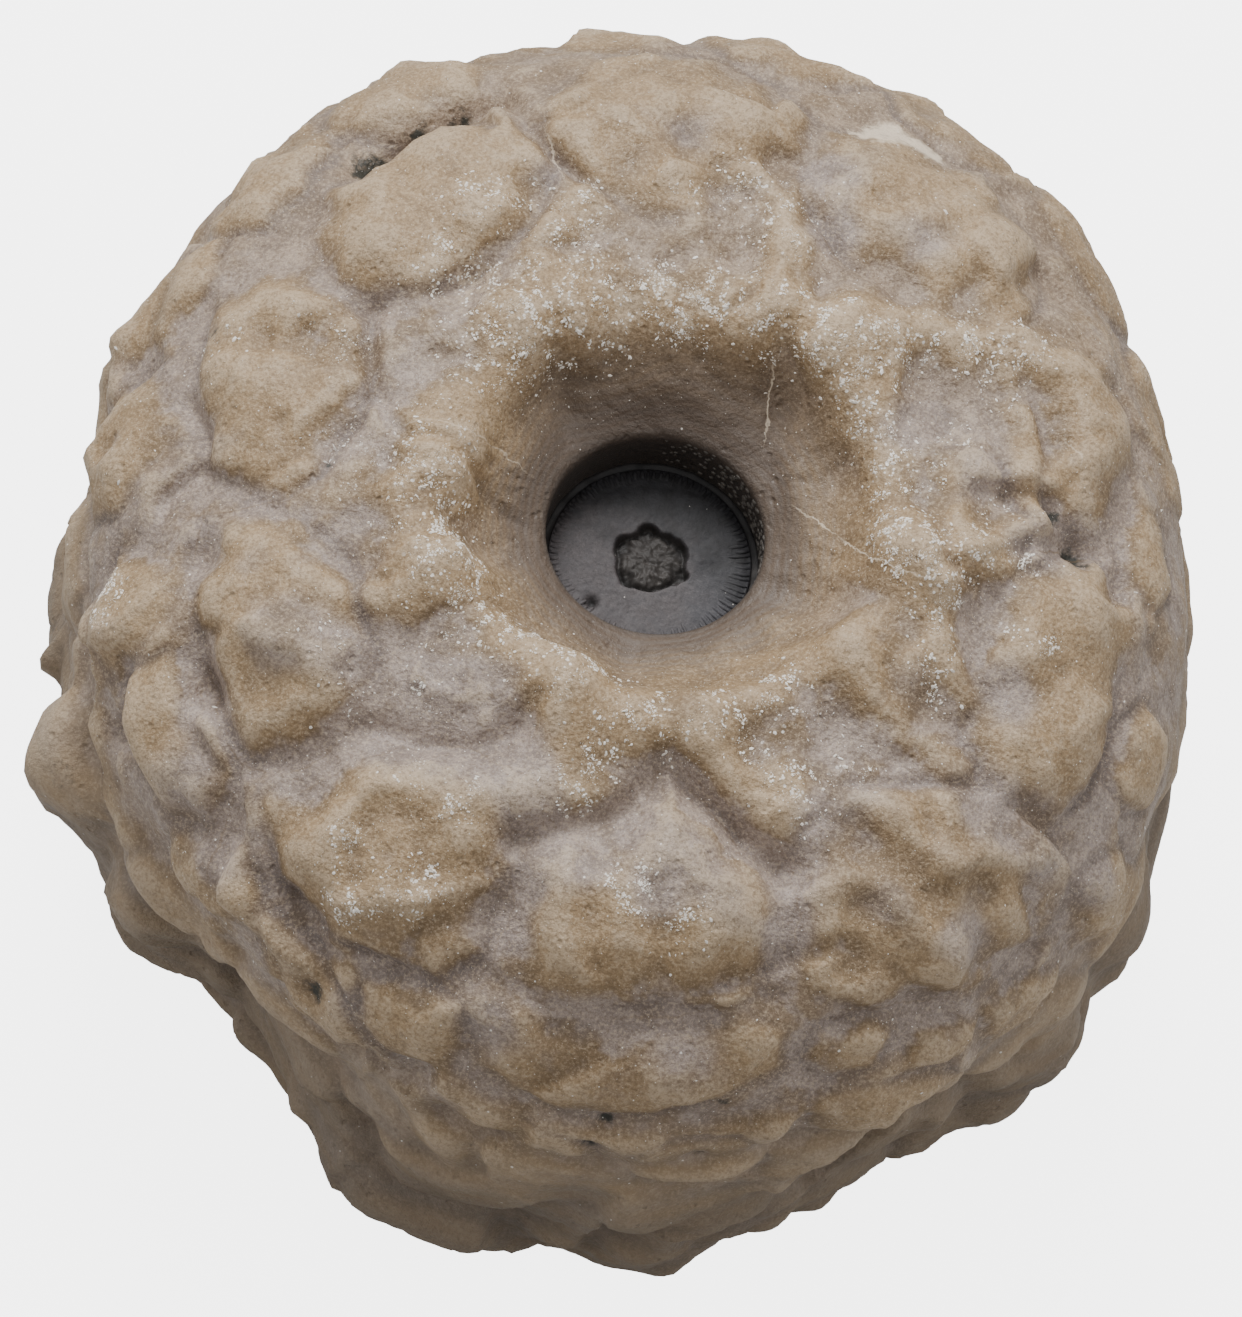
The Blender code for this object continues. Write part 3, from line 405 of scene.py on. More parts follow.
# %% Where they are
# lines: places (azimuth, out), half width, height
RIDGES = [
    # the crest of the pit's rim, in four stretches
    ([(175, -1.3), (168, -1.3), (154, -1.6), (143, -1.4), (132, -1.2), (116, -1.5), (92, -1.4),
      (73, -1.0), (58, 0.2)], 1.7, 0.60),
    ([(58, 0.2), (40, -0.4), (27, -0.8), (10, -0.8), (-2, 0.5)], 1.4, 0.35),
    ([(358, 0.5), (344, 0.2), (330, -0.2), (316, -0.5), (304, -0.5), (289, 0), (275, -0.2),
      (262, -0.2), (251, -1.0)], 1.8, 0.45),
    ([(251, -1.0), (236, -0.8), (221, -0.2), (210, -0.5), (202, -0.5), (191, -1.0),
      (175, -1.3)], 1.5, 0.40),
    # spokes from the rim to the plates of the ring and between them
    ([(132, 0), (124, 2), (114, 4.2), (114, 6)], 1.7, 0.55),
    ([(73, 0.2), (77, 3.0), (81, 5)], 1.1, 0.48),
    ([(58, 1.2), (49, 2.4), (44, 4.5), (39, 7.5), (36, 8.8)], 1.3, 0.50),
    ([(-2, 0.5), (-7, 1.4), (2, 3.2), (10, 5.5)], 0.9, 0.44),
    ([(10, 5.5), (16, 5.4), (27, 5.8), (35, 5.7)], 0.8, 0.41),
    ([(353, 1.4), (342, 2.8), (337, 4.5)], 0.8, 0.34),
    ([(330, -0.2), (325, 2.0), (328, 6.0)], 0.9, 0.37),
    ([(262, -0.2), (262, 2.6), (256, 4.4)], 1.9, 0.55),
    ([(289, 0), (298, 2.6), (303, 4.6)], 1.5, 0.40),
    ([(210, -0.5), (214, 1.5), (213, 3.2)], 1.0, 0.41),
    ([(186, -1.0), (191, 2.2), (195, 4.6)], 1.2, 0.27),
    # folds inside single plates
    ([(138, 8.4), (142, 7.1), (148, 5.4)], 0.7, 0.24),
    ([(143, 9.1), (146, 7.5), (152, 6.0)], 0.5, 0.17),
    ([(131, 8.0), (126, 7.4), (122, 6.0)], 1.3, 0.17),
    ([(102, 8.6), (101, 7.6), (100, 6.4)], 0.6, 0.24),
    ([(103, 3.8), (99, 4.3), (95, 5.0)], 0.9, 0.31),
    ([(91, 5.8), (88, 7.3), (85, 8.9)], 1.0, 0.24),
    ([(111, 7.6), (106, 6.6), (102, 5.6)], 0.7, 0.20),
    ([(71, 4.2), (64, 5.0), (61, 7.1), (60, 9.2)], 0.7, 0.20),
    ([(52, 4.5), (54, 6.4), (56, 8.1)], 0.8, 0.17),
    ([(38, 6.5), (32, 8.1), (28, 9.0)], 0.8, 0.20),
    ([(20, 8.2), (25, 10.1), (29, 11.7)], 0.9, 0.20),
    ([(358, 6.2), (358, 8.3), (358, 10.5)], 1.4, 0.24),
    ([(338, 7.1), (338, 8.6), (342, 10.3)], 1.4, 0.24),
    ([(239, 7.0), (239, 9.0), (242, 10.9), (245, 11.5)], 0.7, 0.31),
    ([(245, 11.5), (248, 10.6), (254, 9.5), (258, 8.4)], 0.6, 0.31),
    ([(238, 7.0), (246, 5.9), (252, 5.4)], 0.8, 0.17),
    ([(210, 9.4), (212, 8.1), (215, 6.5), (220, 5.6)], 0.7, 0.27),
    ([(198, 5.2), (206, 4.7), (214, 4.8)], 0.7, 0.20),
    ([(168, 10.4), (165, 9.0), (160, 7.1), (160, 4.8)], 0.8, 0.24),
    ([(164, 4.2), (172, 3.8), (180, 4.7)], 0.7, 0.17),
    ([(268, 6.2), (267, 7.8), (270, 9.5), (276, 10.3)], 0.8, 0.17),
    ([(273, 6.4), (281, 4.8), (288, 6.3), (293, 8.3)], 0.8, 0.17),
    # the star on one plate
    ([(323, 6.9), (319, 8.4), (316, 10.3), (313, 12.8)], 0.65, 0.41),
    ([(300, 7.0), (307, 7.6), (310, 9.2), (312, 10.8)], 0.6, 0.31),
    ([(316, 6.2), (316, 7.4), (318, 9.1)], 0.6, 0.20),
    ([(319, 9.3), (324, 10.0), (328, 11.6)], 0.6, 0.34),
    ([(301, 11.4), (307, 11.8), (313, 12.2)], 0.6, 0.27),
    # strands along the shoulder
    ([(246, 12.9), (250, 14.2), (252, 15.1), (254, 16.4)], 0.7, 0.31),
    ([(236, 14.6), (243, 14.6), (249, 15.4), (257, 18.5), (262, 21.0)], 0.8, 0.41),
    ([(255, 12.2), (262, 12.6), (268, 12.5)], 0.6, 0.20),
    ([(262, 13.6), (272, 13.7), (280, 13.4), (288, 13.0), (294, 12.6)], 0.9, 0.08),
    ([(262, 16.8), (272, 17.4), (283, 17.3), (296, 16.4), (304, 15.6), (312, 16.2)], 0.7, 0.27),
    ([(206, 11.9), (208, 13.6), (208, 15.8)], 0.6, 0.27),
    ([(200, 15.5), (210, 18.5), (222, 20.5), (236, 22)], 1.0, 0.34),
]
# places: azimuth, out, radius, height (negative is a hollow)
SPOTS = [
    # hollows just outside the rim
    (154, 0.6, 1.7, -0.41), (300, 1.3, 1.6, -0.45), (318, 1.1, 1.4, -0.45), (226, 0.8, 1.5, -0.38),
    (33, 2.2, 2.2, -0.38), (324, 4.0, 1.9, -0.30), (29, -2.8, 1.3, -0.34), (186, 2.0, 1.6, -0.19),
    # hollows on the star plate
    (307, 8.6, 1.0, -0.38), (304, 10.2, 1.2, -0.38), (321, 10.6, 1.0, -0.45),
    (326, 12.2, 0.9, -0.38), (318, 12.6, 1.0, -0.38), (319, 7.4, 1.0, -0.26),
    (310, 6.6, 1.0, -0.26),
    # hollows on and between the other plates
    (144, 8.0, 0.9, -0.26), (138, 7.0, 1.0, -0.26), (97, 6.2, 1.2, -0.41), (107, 8.8, 1.0, -0.22),
    (60, 5.4, 1.1, -0.26), (48, 8.4, 1.2, -0.26), (24, 7.6, 0.9, -0.34), (18, 7.4, 0.7, -0.22),
    (344, 7.2, 1.1, -0.34), (251, 10.9, 1.0, -0.41), (255, 10.0, 0.9, -0.30),
    (241, 8.2, 0.7, -0.26), (234, 10.8, 1.2, -0.34), (208, 6.6, 1.4, -0.26),
    (219, 8.8, 1.4, -0.34), (200, 7.8, 1.2, -0.22), (167, 10.6, 0.7, -0.26),
    (180, 6.2, 1.3, -0.26), (164, 5.6, 1.0, -0.22), (288, 10.0, 0.3, -0.15),
    (264, 7.6, 0.9, -0.19), (8, 2.9, 1.2, -0.19),
    # open cavities
    (136, 10.6, 1.4, -1.2), (130, 10.6, 1.0, -0.9), (125, 10.2, 0.9, -0.7), (8, 8.2, 0.7, -0.8),
    (13, 6.6, 0.6, -0.3), (214, 11.0, 1.1, -1.0), (197, 9.4, 0.9, -0.6), (246, 15.4, 0.9, -0.7),
    (277, 16.5, 0.5, -0.4), (276, 17.9, 0.5, -0.4), (286, 18.6, 0.6, -0.3),
    # hollows low on the wall
    (249, 21.8, 1.6, -0.8), (254, 24.5, 1.4, -0.6), (210, 19.5, 1.4, -0.9),
    # knobs on the outline
    (165, 17.2, 1.5, 1.3), (170, 17.5, 1.3, 0.7), (179, 16.5, 1.3, 0.5), (125, 15.5, 1.0, 0.6),
    (207, 22.0, 1.8, 0.5),
]
# lines: places (azimuth, out), half width, depth
CREASES = [
    # edges between the facets of the pit
    ([(66, -0.6), (58, -3.0), (46, -5.2)], 0.9, 0.45),
    ([(131, -0.8), (136, -3.2), (142, -5.2)], 0.9, 0.40),
    ([(202, -1.4), (204, -3.4), (208, -5.2)], 0.9, 0.30),
    ([(268, -1.2), (268, -3.2), (268, -5.2)], 0.9, 0.30),
    ([(345, -0.6), (342, -3.0), (338, -5.2)], 0.9, 0.30),
    # grooves between and beside the plates
    ([(-6, 1.4), (2, 3.6), (9, 7), (9, 9.5)], 0.4, 0.35),
    ([(195, -6), (180, -1), (177, 1.2), (164, 3.2), (155, 4.4)], 0.35, 0.25),
    ([(260, 6.0), (267, 4.6), (274, 3.6), (279, 2.4), (282, 1.7), (288, 3.0), (294, 4.8),
      (299, 6.6)], 0.65, 0.65),
    ([(252, 0.8), (251, 2.4), (243, 4.1), (234, 5.3), (230, 6.2)], 0.6, 0.5),
    ([(262, 11.2), (272, 11.7), (282, 11.4), (290, 11.3), (296, 10.6)], 0.4, 0.12),
    ([(136, 10.4), (131, 10.5), (125, 10.2), (119, 10.0)], 0.5, 0.8),
    ([(118, 9.4), (118, 7.0), (114, 4.6)], 0.4, 0.4),
    ([(184, 9.6), (180, 9.8), (176, 11.0)], 0.4, 0.5),
    ([(239, 12.9), (244, 13.6), (249, 13.0)], 0.5, 0.5),
    ([(262, 19.0), (276, 19.6), (293, 18.8), (305, 19.8)], 0.6, 0.4),
]
print(len(RIDGES), "ridges,", len(SPOTS), "hollows and knobs,", len(CREASES), "creases")


# %% Lines, blots and worn facets
def path_along(line):
    """Points of the body along a smooth line through the given places."""
    places = np.linspace(0, len(line) - 1, 8 * (len(line) - 1) + 1)
    azimuth, out = smooth_curve(line, places, closed=False).T
    return body_point(azimuth, out)


def along_lines(points, lines):
    """Soft ridges along lines of (places, half width, height), added up."""
    total = np.zeros(points.shape[:-1])
    for line, half_width, rise in lines:
        path = path_along(line)
        nearest = np.full(points.shape[:-1], np.inf)
        for start, end in zip(path[:-1], path[1:]):
            run = end - start
            f = np.clip((points - start) @ run / (run @ run), 0.0, 1.0)
            gap = np.linalg.norm(points - start - f[..., None] * run, axis=-1)
            nearest = np.minimum(nearest, gap)
        total += rise * np.exp(-(nearest / half_width) ** 2)
    return total


def spread(points, places, sharpness=1.0):
    """Soft round blots of the given radius and amount at the given places, added up."""
    total = np.zeros(points.shape[:-1])
    for azimuth, out, radius, amount in places:
        distance = np.linalg.norm(points - one_point(azimuth, out), axis=-1)
        total += amount * np.exp(-sharpness * (distance / radius) ** 2)
    return total


def worn_facets(points, spacing, tilt, seed):
    """Small uneven facets: each patch of the surface leans its own way, and patches blend."""
    random = np.random.default_rng(seed)
    count = int(6.0 * (BODY_RADIUS / spacing) ** 2)
    centres = body_point(random.uniform(0.0, 360.0, count), random.uniform(-6.0, 38.0, count))
    leans = random.normal(scale=tilt, size=(count, 3))
    lifts = random.normal(scale=tilt * spacing * 0.4, size=count)
    total = np.zeros(points.shape[:-1])
    weight = np.full(points.shape[:-1], 1e-9)
    for centre, lean, lift in zip(centres, leans, lifts):
        offset = points - centre
        share = np.exp(-7.0 * np.sum(offset * offset, axis=-1) / spacing**2)
        total += share * (offset @ lean + lift)
        weight += share
    return total / weight


# %% Add it all up
# side where fine relief is worn too: azimuth, half width, how far out it starts, share that is gone
SMOOTH_SIDE, SMOOTH_HALF, SMOOTH_FROM, SMOOTH_SHARE = 20.0, 80.0, 11.0, 0.65


def fine_relief(azimuth, out, points):
    """Swell, facets, wrinkles and dents in mm, gentler on the worn right side."""
    swell = rough_waves(points, longest=5.0, height=0.10, layers=2, seed=3)
    facets = worn_facets(points, spacing=2.2, tilt=0.11, seed=5) * fade((out + 2.0) / 3.0)
    wrinkled = 0.14 * wrinkles(points, 2.2, seed=7) + 0.10 * wrinkles(points, 0.9, seed=8)
    bent = points + 0.5 * np.stack([lumps(points, 1.6, seed=k) for k in (50, 51, 52)], axis=-1)
    dents = 0.22 * (scallops(bent, 2.4, seed=12) - 0.3) * fade((out + 1.0) / 3.0)
    worn = hump(turn_between(azimuth, SMOOTH_SIDE) / SMOOTH_HALF) * fade((out - SMOOTH_FROM) / 5.0)
    return (swell + facets + wrinkled + dents) * (1.0 - SMOOTH_SHARE * worn)


def relief(azimuth, out, points):
    """Height over the smooth body in mm, and masks of the valleys and of the seams."""
    plates, valleys, seams = plate_heights(points)
    outside_rim = fade((out - 0.2) / 2.2)
    ridges = along_lines(points, RIDGES)
    height = plates * outside_rim + ridges * (1.0 + 0.35 * valleys * outside_rim)
    valleys = valleys * (1.0 - fade(ridges / 0.30))
    height = height + spread(points, SPOTS, sharpness=1.2) - along_lines(points, CREASES)
    height = height + fine_relief(azimuth, out, points)
    above_socket = fade((out + 6.7) / 2.6)
    clear_of_rest = 1.0 - fade((out - 36.0) / 3.0)
    kept = above_socket * clear_of_rest
    return height * kept, valleys * outside_rim * kept, seams * outside_rim * kept


# %% [markdown]
# ## The skin of the cup
# The cup is one closed skin. A grid is the plainest way to make it: columns of points round the
# axis, and rows from the middle of the socket floor over the rim, down the wall and under to the
# middle of the rest patch. Rows lie closer together on top, where there is more to see. The two
# middles are single points, so the skin has no hole.

# %% Helpers for meshes
def add_object(name, data):
    """An object in the scene that shows this mesh, lamp or camera."""
    holder = bpy.data.objects.new(name, data)
    bpy.context.scene.collection.objects.link(holder)
    return holder


def skin_object(name, points, faces):
    """A smoothly shaded mesh object from points in mm."""
    mesh = bpy.data.meshes.new(name + "_skin")
    mesh.from_pydata((np.asarray(points) * MM).tolist(), [], faces)
    mesh.update()
    mesh.shade_smooth()
    return add_object(name, mesh)


def skin_faces(columns, rows):
    """Faces of a closed skin; the two points after the grid are its poles."""
    first_pole, last_pole = columns * rows, columns * rows + 1
    faces = []
    for i in range(columns):
        here, beside = i * rows, (i + 1) % columns * rows
        faces.append((first_pole, here, beside))
        faces.extend((here + k, here + k + 1, beside + k + 1, beside + k) for k in range(rows - 1))
        faces.append((last_pole, beside + rows - 1, here + rows - 1))
    return faces


# %% Make the skin
COLUMNS = 432
THINNING = 1.0
# stretches of rows: from, to, count
ROW_STRETCHES = [(FIRST_OUT, -8.0, 12), (-8.0, 18.0, 116), (18.0, 40.0, 76), (40.0, LAST_OUT, 12)]
azimuths = np.arange(COLUMNS) * 360.0 / COLUMNS
outs = np.concatenate([np.linspace(start, end, int(count * THINNING), endpoint=False)
                       for start, end, count in ROW_STRETCHES])[1:]
azimuth_grid, out_grid = np.meshgrid(azimuths, outs, indexing="ij")
smooth_points = body_point(azimuth_grid, out_grid)
smooth_normals = body_normal(azimuth_grid, out_grid)
height_grid, valley_grid, seam_grid = relief(azimuth_grid, out_grid, smooth_points)
stone_points = smooth_points + smooth_normals * height_grid[..., None]
stone_points[..., 2] = np.maximum(stone_points[..., 2], 0.0)
cup_points = np.vstack([stone_points.reshape(-1, 3), [[0, 0, SOCKET_FLOOR], [0, 0, 0]]])
cup = skin_object("calyx_stone_body", cup_points, skin_faces(COLUMNS, len(outs)))
print("cup skin:", len(cup_points), "points,", 2 * COLUMNS * len(outs), "triangles")

# %% [markdown]
# ## What the surface knows about itself
# Stone weathers by its shape: crests are rubbed pale and carry white crumbs, their flanks are
# ochre, and grey-lilac clay stays in the valleys. Painting that by hand would take long and would
# have to be done again after every change of shape. So the height is compared with its own average
# over a few millimetres: what stands above the average is a crest, and what lies below it is a
# valley. Each result is stored on the mesh as a named attribute, which a material can read.

# %% Averages of the height
CREST_RADIUS, CREST_RANGE = 0.7, 0.16
BOSS_RADIUS, BOSS_RANGE = 2.6, 0.5


def average_height(height, radius):
    """Height averaged over a round neighbourhood of about this radius, in mm."""
    around_radius = np.hypot(smooth_points[..., 0], smooth_points[..., 1]).mean(axis=0)
    waves = np.fft.rfft(height, axis=0)
    turns = np.arange(waves.shape[0])[:, None]
    waves = waves * np.exp(-0.5 * (turns * radius / np.maximum(around_radius, 0.5)) ** 2)
    height = np.fft.irfft(waves, n=height.shape[0], axis=0)
    gaps = outs[:, None] - outs[None, :]
    weights = np.exp(-0.5 * (gaps / radius) ** 2) * np.gradient(outs)[None, :]
    return height @ (weights / weights.sum(axis=1, keepdims=True)).T


def store(piece, name, values, pole_value=0.0):
    """Keep a number at each point of a skin, and one for its poles."""
    layer = piece.data.attributes.new(name, "FLOAT", "POINT")
    layer.data.foreach_set("value", np.append(values.ravel(), [pole_value] * 2).astype(np.float32))


crest_grid = height_grid - average_height(height_grid, CREST_RADIUS)
boss_grid = height_grid - average_height(height_grid, BOSS_RADIUS)
store(cup, "crest", np.clip(crest_grid / CREST_RANGE, -1, 1))
store(cup, "boss", np.clip(boss_grid / BOSS_RANGE, -1, 1))
store(cup, "valley", valley_grid)
store(cup, "seam", seam_grid)
store(cup, "pit", 1.0 - fade((out_grid + 8.0) / 6.0), pole_value=1.0)
store(cup, "out", out_grid)
print("crest", crest_grid.std().round(3), "boss", boss_grid.std().round(3))

# %% [markdown]
# ## Crumbs, clay, stains, cavities and sutures
# Some marks follow no rule: they are where they are. White crumbs of calcite cling to the rim and
# to a few crests, clay stays in certain corners, stains are brown, open cavities are painted dark
# as painted shade, and hair-fine sutures show where one plate was joined to the next. Each kind is
# a short list of places, spread out softly and stored like the masks above.

# %% Places of the marks
# azimuth, out, radius, amount
CRUMB_PLACES = [
    # along the pit's rim
    (126, -1.2, 1.4, 1.0), (112, -1.5, 1.3, 1.0), (92, -1.4, 1.2, 0.9), (76, -0.9, 1.3, 0.9),
    (62, 0.0, 1.3, 0.9), (54, 0.2, 1.3, 1.0), (42, 0.0, 1.2, 1.0), (32, -0.5, 1.1, 0.8),
    (18, -0.7, 1.1, 0.8), (4, -0.3, 1.2, 0.9), (358, 0.6, 1.2, 1.0), (275, -0.2, 1.2, 0.6),
    (286, 0.2, 1.2, 0.6), (296, 0.4, 1.2, 0.6), (305, 0.2, 1.2, 0.8), (314, -0.2, 1.2, 0.7),
    (94, -0.8, 1.3, 0.9), (104, -0.6, 1.2, 0.8), (84, -0.4, 1.2, 0.8), (262, -1.0, 1.4, 0.7),
    (250, -1.4, 1.3, 0.8), (240, -1.2, 1.2, 0.7), (223, -0.6, 1.4, 1.0), (214, -0.5, 1.3, 1.0),
    (204, -0.7, 1.2, 0.9), (193, -1.0, 1.2, 0.7), (180, -0.4, 1.3, 0.6), (154, -0.2, 1.5, 0.8),
    (140, -1.3, 1.4, 1.0), (135, 0.8, 1.5, 1.0), (141, 2.4, 1.4, 0.7),
    # where the spokes meet
    (355, 1.3, 1.1, 1.3), (350, 1.7, 0.9, 1.3), (342, 2.4, 0.9, 1.0), (336, 3.4, 0.8, 0.8),
    (2, 2.9, 0.9, 0.7), (45, 4.0, 1.0, 1.1), (41, 5.2, 1.0, 1.1), (39, 6.7, 0.9, 1.0),
    (40, 8.1, 0.8, 0.8), (48, 2.0, 1.2, 0.9), (118, 1.9, 1.0, 1.2), (114, 3.4, 0.8, 1.2),
    (122, 4.3, 0.9, 0.8), (82, 4.3, 1.0, 1.1), (78, 2.8, 1.1, 0.9), (89, 4.4, 0.8, 0.9),
    (96, 3.6, 0.7, 0.9),
    # on single plates
    (241, 9.6, 0.7, 1.7), (245, 11.3, 0.6, 1.9), (250, 10.2, 0.8, 1.2), (254, 9.4, 0.7, 0.9),
    (250, 5.6, 0.7, 2.0), (251, 8.6, 0.7, 1.0), (240, 5.8, 0.8, 0.6), (234, 3.0, 0.7, 1.0),
    (276, 6.5, 0.7, 2.2), (278, 7.1, 0.5, 1.5), (284, 7.7, 0.8, 0.8), (266, 3.4, 0.9, 0.9),
    (268, 2.1, 0.9, 0.8), (131, 5.0, 1.1, 0.6), (142, 4.0, 1.0, 0.6), (124, 4.6, 0.7, 0.8),
    (218, 4.8, 0.8, 0.4), (163, 6.5, 0.9, 0.3), (163, 4.4, 0.9, 0.5), (168, 9.4, 1.0, 0.5),
    (34, 5.6, 0.8, 0.6), (27, 2.6, 0.7, 1.0), (20, 1.1, 0.8, 0.6), (13, 3.8, 0.7, 0.6),
    (3, 4.8, 0.8, 0.8), (351, 5.4, 0.5, 1.4), (351, 7.0, 0.5, 1.2), (198, 14.2, 0.8, 2.2),
    (302, 2.8, 0.9, 0.9), (304, 4.6, 0.8, 0.7), (314, 3.6, 1.0, 0.5), (226, 5.5, 0.8, 0.4),
    (188, 1.0, 1.2, 0.6), (182, 3.0, 1.0, 0.4), (230, 0.2, 1.0, 0.5),
]
CLAY_PLACES = [
    (277, 4.4, 1.6, 0.8), (270, 6.3, 1.2, 0.6), (263, 7.5, 1.0, 0.9), (263, 9.5, 0.9, 0.9),
    (235, 5.6, 1.4, 0.8), (245, 4.0, 1.5, 0.9), (232, 2.6, 1.6, 0.8), (243, 1.9, 1.6, 0.9),
    (327, 8.2, 1.5, 0.9), (330, 11.0, 1.6, 1.0), (32, 1.9, 1.3, 0.9), (30, 0.4, 1.1, 0.6),
    (77, 6.2, 1.3, 0.8), (71, 4.1, 1.2, 0.7), (118, 5.0, 0.9, 0.7), (192, 7.0, 0.9, 0.9),
    (194, 9.6, 1.1, 0.9), (296, 8.7, 1.2, 0.9), (299, 6.6, 1.1, 0.8), (314, 4.4, 1.6, 0.6),
    (284, 13.0, 1.6, 0.6), (250, 14.6, 1.2, 0.5), (216, 11.2, 1.2, 0.9), (6, 4.9, 0.9, 0.5),
    (97, 6.3, 1.2, 0.6), (214, 6.4, 1.6, 0.7), (60, 5.8, 1.6, 0.5), (154, 2.0, 1.2, 0.3),
    (205, 20, 2.0, 0.5), (340, 13, 1.6, 0.6), (10, 8.0, 1.2, 0.6), (286, 5.0, 1.4, 0.5),
    (255, 3.1, 1.5, 0.9), (262, 4.9, 1.3, 0.9), (280, 6.8, 1.2, 0.7), (289, 7.2, 1.2, 0.7),
    (309, 8.9, 0.9, 0.7), (316, 11.6, 1.3, 0.7), (305, 5.0, 1.2, 0.9), (222, 4.7, 1.2, 0.7),
    (222, 13.3, 1.4, 0.8), (230, 14.3, 1.2, 0.9), (18, 3.1, 1.2, 0.9), (6, 6.2, 1.0, 0.7),
    (342, 5.9, 1.3, 0.9), (334, 14.5, 1.5, 0.8), (264, 13.0, 1.4, 0.7),
]
STAIN_PLACES = [
    (214, 6.0, 1.5, 0.8), (227, 0.2, 1.2, 0.8), (164, 3.5, 1.6, 0.8), (156, 0.8, 1.5, 0.9),
    (302, 1.0, 1.3, 1.0), (332, 3.6, 1.2, 0.9), (73, 7.6, 1.2, 0.6), (86, 2.7, 1.4, 0.6),
    (96, 10.3, 2.0, 0.5), (242, 14.8, 2.0, 0.7), (260, 17.6, 2.0, 0.6), (331, 10.7, 1.4, 0.7),
    (8, -1.0, 1.2, 0.6), (306, 7.1, 1.2, 0.9), (312, 8.4, 1.0, 0.9), (320, 8.6, 1.2, 0.8),
    (46, 5.6, 1.2, 0.5), (280, 13.2, 1.6, 0.5), (248, 1.0, 1.2, 0.5), (288, -1.6, 1.6, 0.5),
    (311, 4.8, 2.2, 0.5), (328, 5.9, 1.8, 0.5), (272, 5.2, 1.4, 0.3), (311, 8.0, 1.6, 0.6),
    (307, 10.4, 1.6, 0.5), (258, 8.6, 1.0, 0.6), (282, -0.6, 1.4, 0.5),
]
CAVITY_PLACES = [
    (136, 10.5, 1.1, 1.0), (129, 10.5, 0.7, 1.0), (124, 10.2, 0.6, 0.8), (8, 8.2, 0.6, 1.0),
    (13, 6.8, 0.45, 0.7), (277, 16.5, 0.35, 0.9), (276, 17.9, 0.35, 0.9), (288, 15.2, 0.25, 0.8),
    (292, 14.0, 0.2, 0.8), (286, 18.6, 0.4, 0.6), (288, 10.1, 0.14, 1.0), (167, 10.3, 0.25, 0.9),
    (246, 15.6, 0.5, 0.8), (186, 3.6, 0.12, 0.9), (209, 20.5, 0.9, 0.35), (29, -2.8, 0.5, 0.35),
    (60, 2.8, 0.4, 0.25),
]
CHIP_PLACES = [
    (75.0, 9.2, 0.8, 0.9), (73.0, 9.9, 0.9, 0.9), (70.0, 10.2, 0.8, 0.9), (67.0, 10.3, 0.6, 0.9),
    (74.0, 10.7, 0.6, 0.7),
]
# places (azimuth, out), strength: positive is dark, negative is a pale line
SUTURES = [
    ([(69, -1.4), (62, -3.4), (53, -4.8)], -0.8),
    ([(24, -5.3), (2, -2.6), (-8, 0), (-9, 1.3)], -0.9),
    ([(186, 3.4), (177, 1.2), (174, -1.1), (170, -3.5), (169, -5.4)], -0.5),
    ([(261, -0.8), (264, 1.5)], 0.6),
    ([(189, 11.7), (192, 9.1), (192, 6.8), (192, 4.7), (187, 3.4)], 0.8),
    ([(198, 10.2), (191, 9.2)], 0.9),
    ([(230, 7.1), (230, 8.9), (226, 10.6), (220, 11.0), (208, 10.6)], 0.8),
    ([(259, 6.5), (262, 8.2), (262, 10.3), (264, 11.9)], 0.5),
    ([(299, 6.4), (298, 8.2), (296, 9.8), (293, 10.8)], 0.5),
    ([(26, 7.7), (18, 7.9)], -0.7), ([(5, 5.4), (8, 7.5), (9, 9.4)], 1.0),
    ([(116, 6.9), (116, 4.7)], -1.0),
    ([(82, 7.6), (80, 5.0), (71, 3.5), (60, 3.1), (48, 4.4), (42, 6.1)], 0.7),
    ([(351, 1.2), (343, 2.7), (336, 4.8), (332, 6.2), (330, 8.9), (332, 11.9)], 0.4),
    ([(154, 4.2), (160, 3.2), (170, 2.6), (186, 3.4)], 0.4),
    ([(134, 9.4), (128, 9.6), (120, 9.0)], 0.9),
    ([(231, 11.4), (232, 9.4), (235, 7.0), (238, 5.0), (246, 3.6), (256, 3.6)], 0.5),
    ([(226, 11.7), (228, 13.6), (232, 16.0)], 0.7),
    ([(262, 5.9), (270, 4.6), (277, 3.2), (282, 1.9), (289, 3.4), (297, 6.6)], 0.6),
    ([(262, 11.4), (272, 11.7), (282, 11.5), (292, 11.0), (304, 12.5), (314, 14.0)], 0.6),
]
FAR_AWAY = 9.0  # in mm: farther from a suture than matters


# %% Store the marks
def suture_field(points, normals):
    """For each point: signed distance to the nearest suture in mm, and how strongly it shows."""
    signed = np.full(points.shape[:-1], FAR_AWAY)
    strength = np.zeros(points.shape[:-1])
    for line, amount in SUTURES:
        path = path_along(line)
        for k, (start, end) in enumerate(zip(path[:-1], path[1:])):
            run = end - start
            away = points - start
            f = away @ run / (run @ run)
            gap = np.linalg.norm(away - np.clip(f, 0, 1)[..., None] * run, axis=-1)
            side = np.sign(np.sum(np.cross(run, away) * normals, axis=-1))
            closer = gap < np.abs(signed)
            signed = np.where(closer, side * gap, signed)
            ends = min(k, len(path) - 2 - k) / 6.0
            strength = np.where(closer, amount * min(1.0, 0.3 + ends), strength)
    return signed, strength * fade((0.9 - np.abs(signed)) / 0.5)


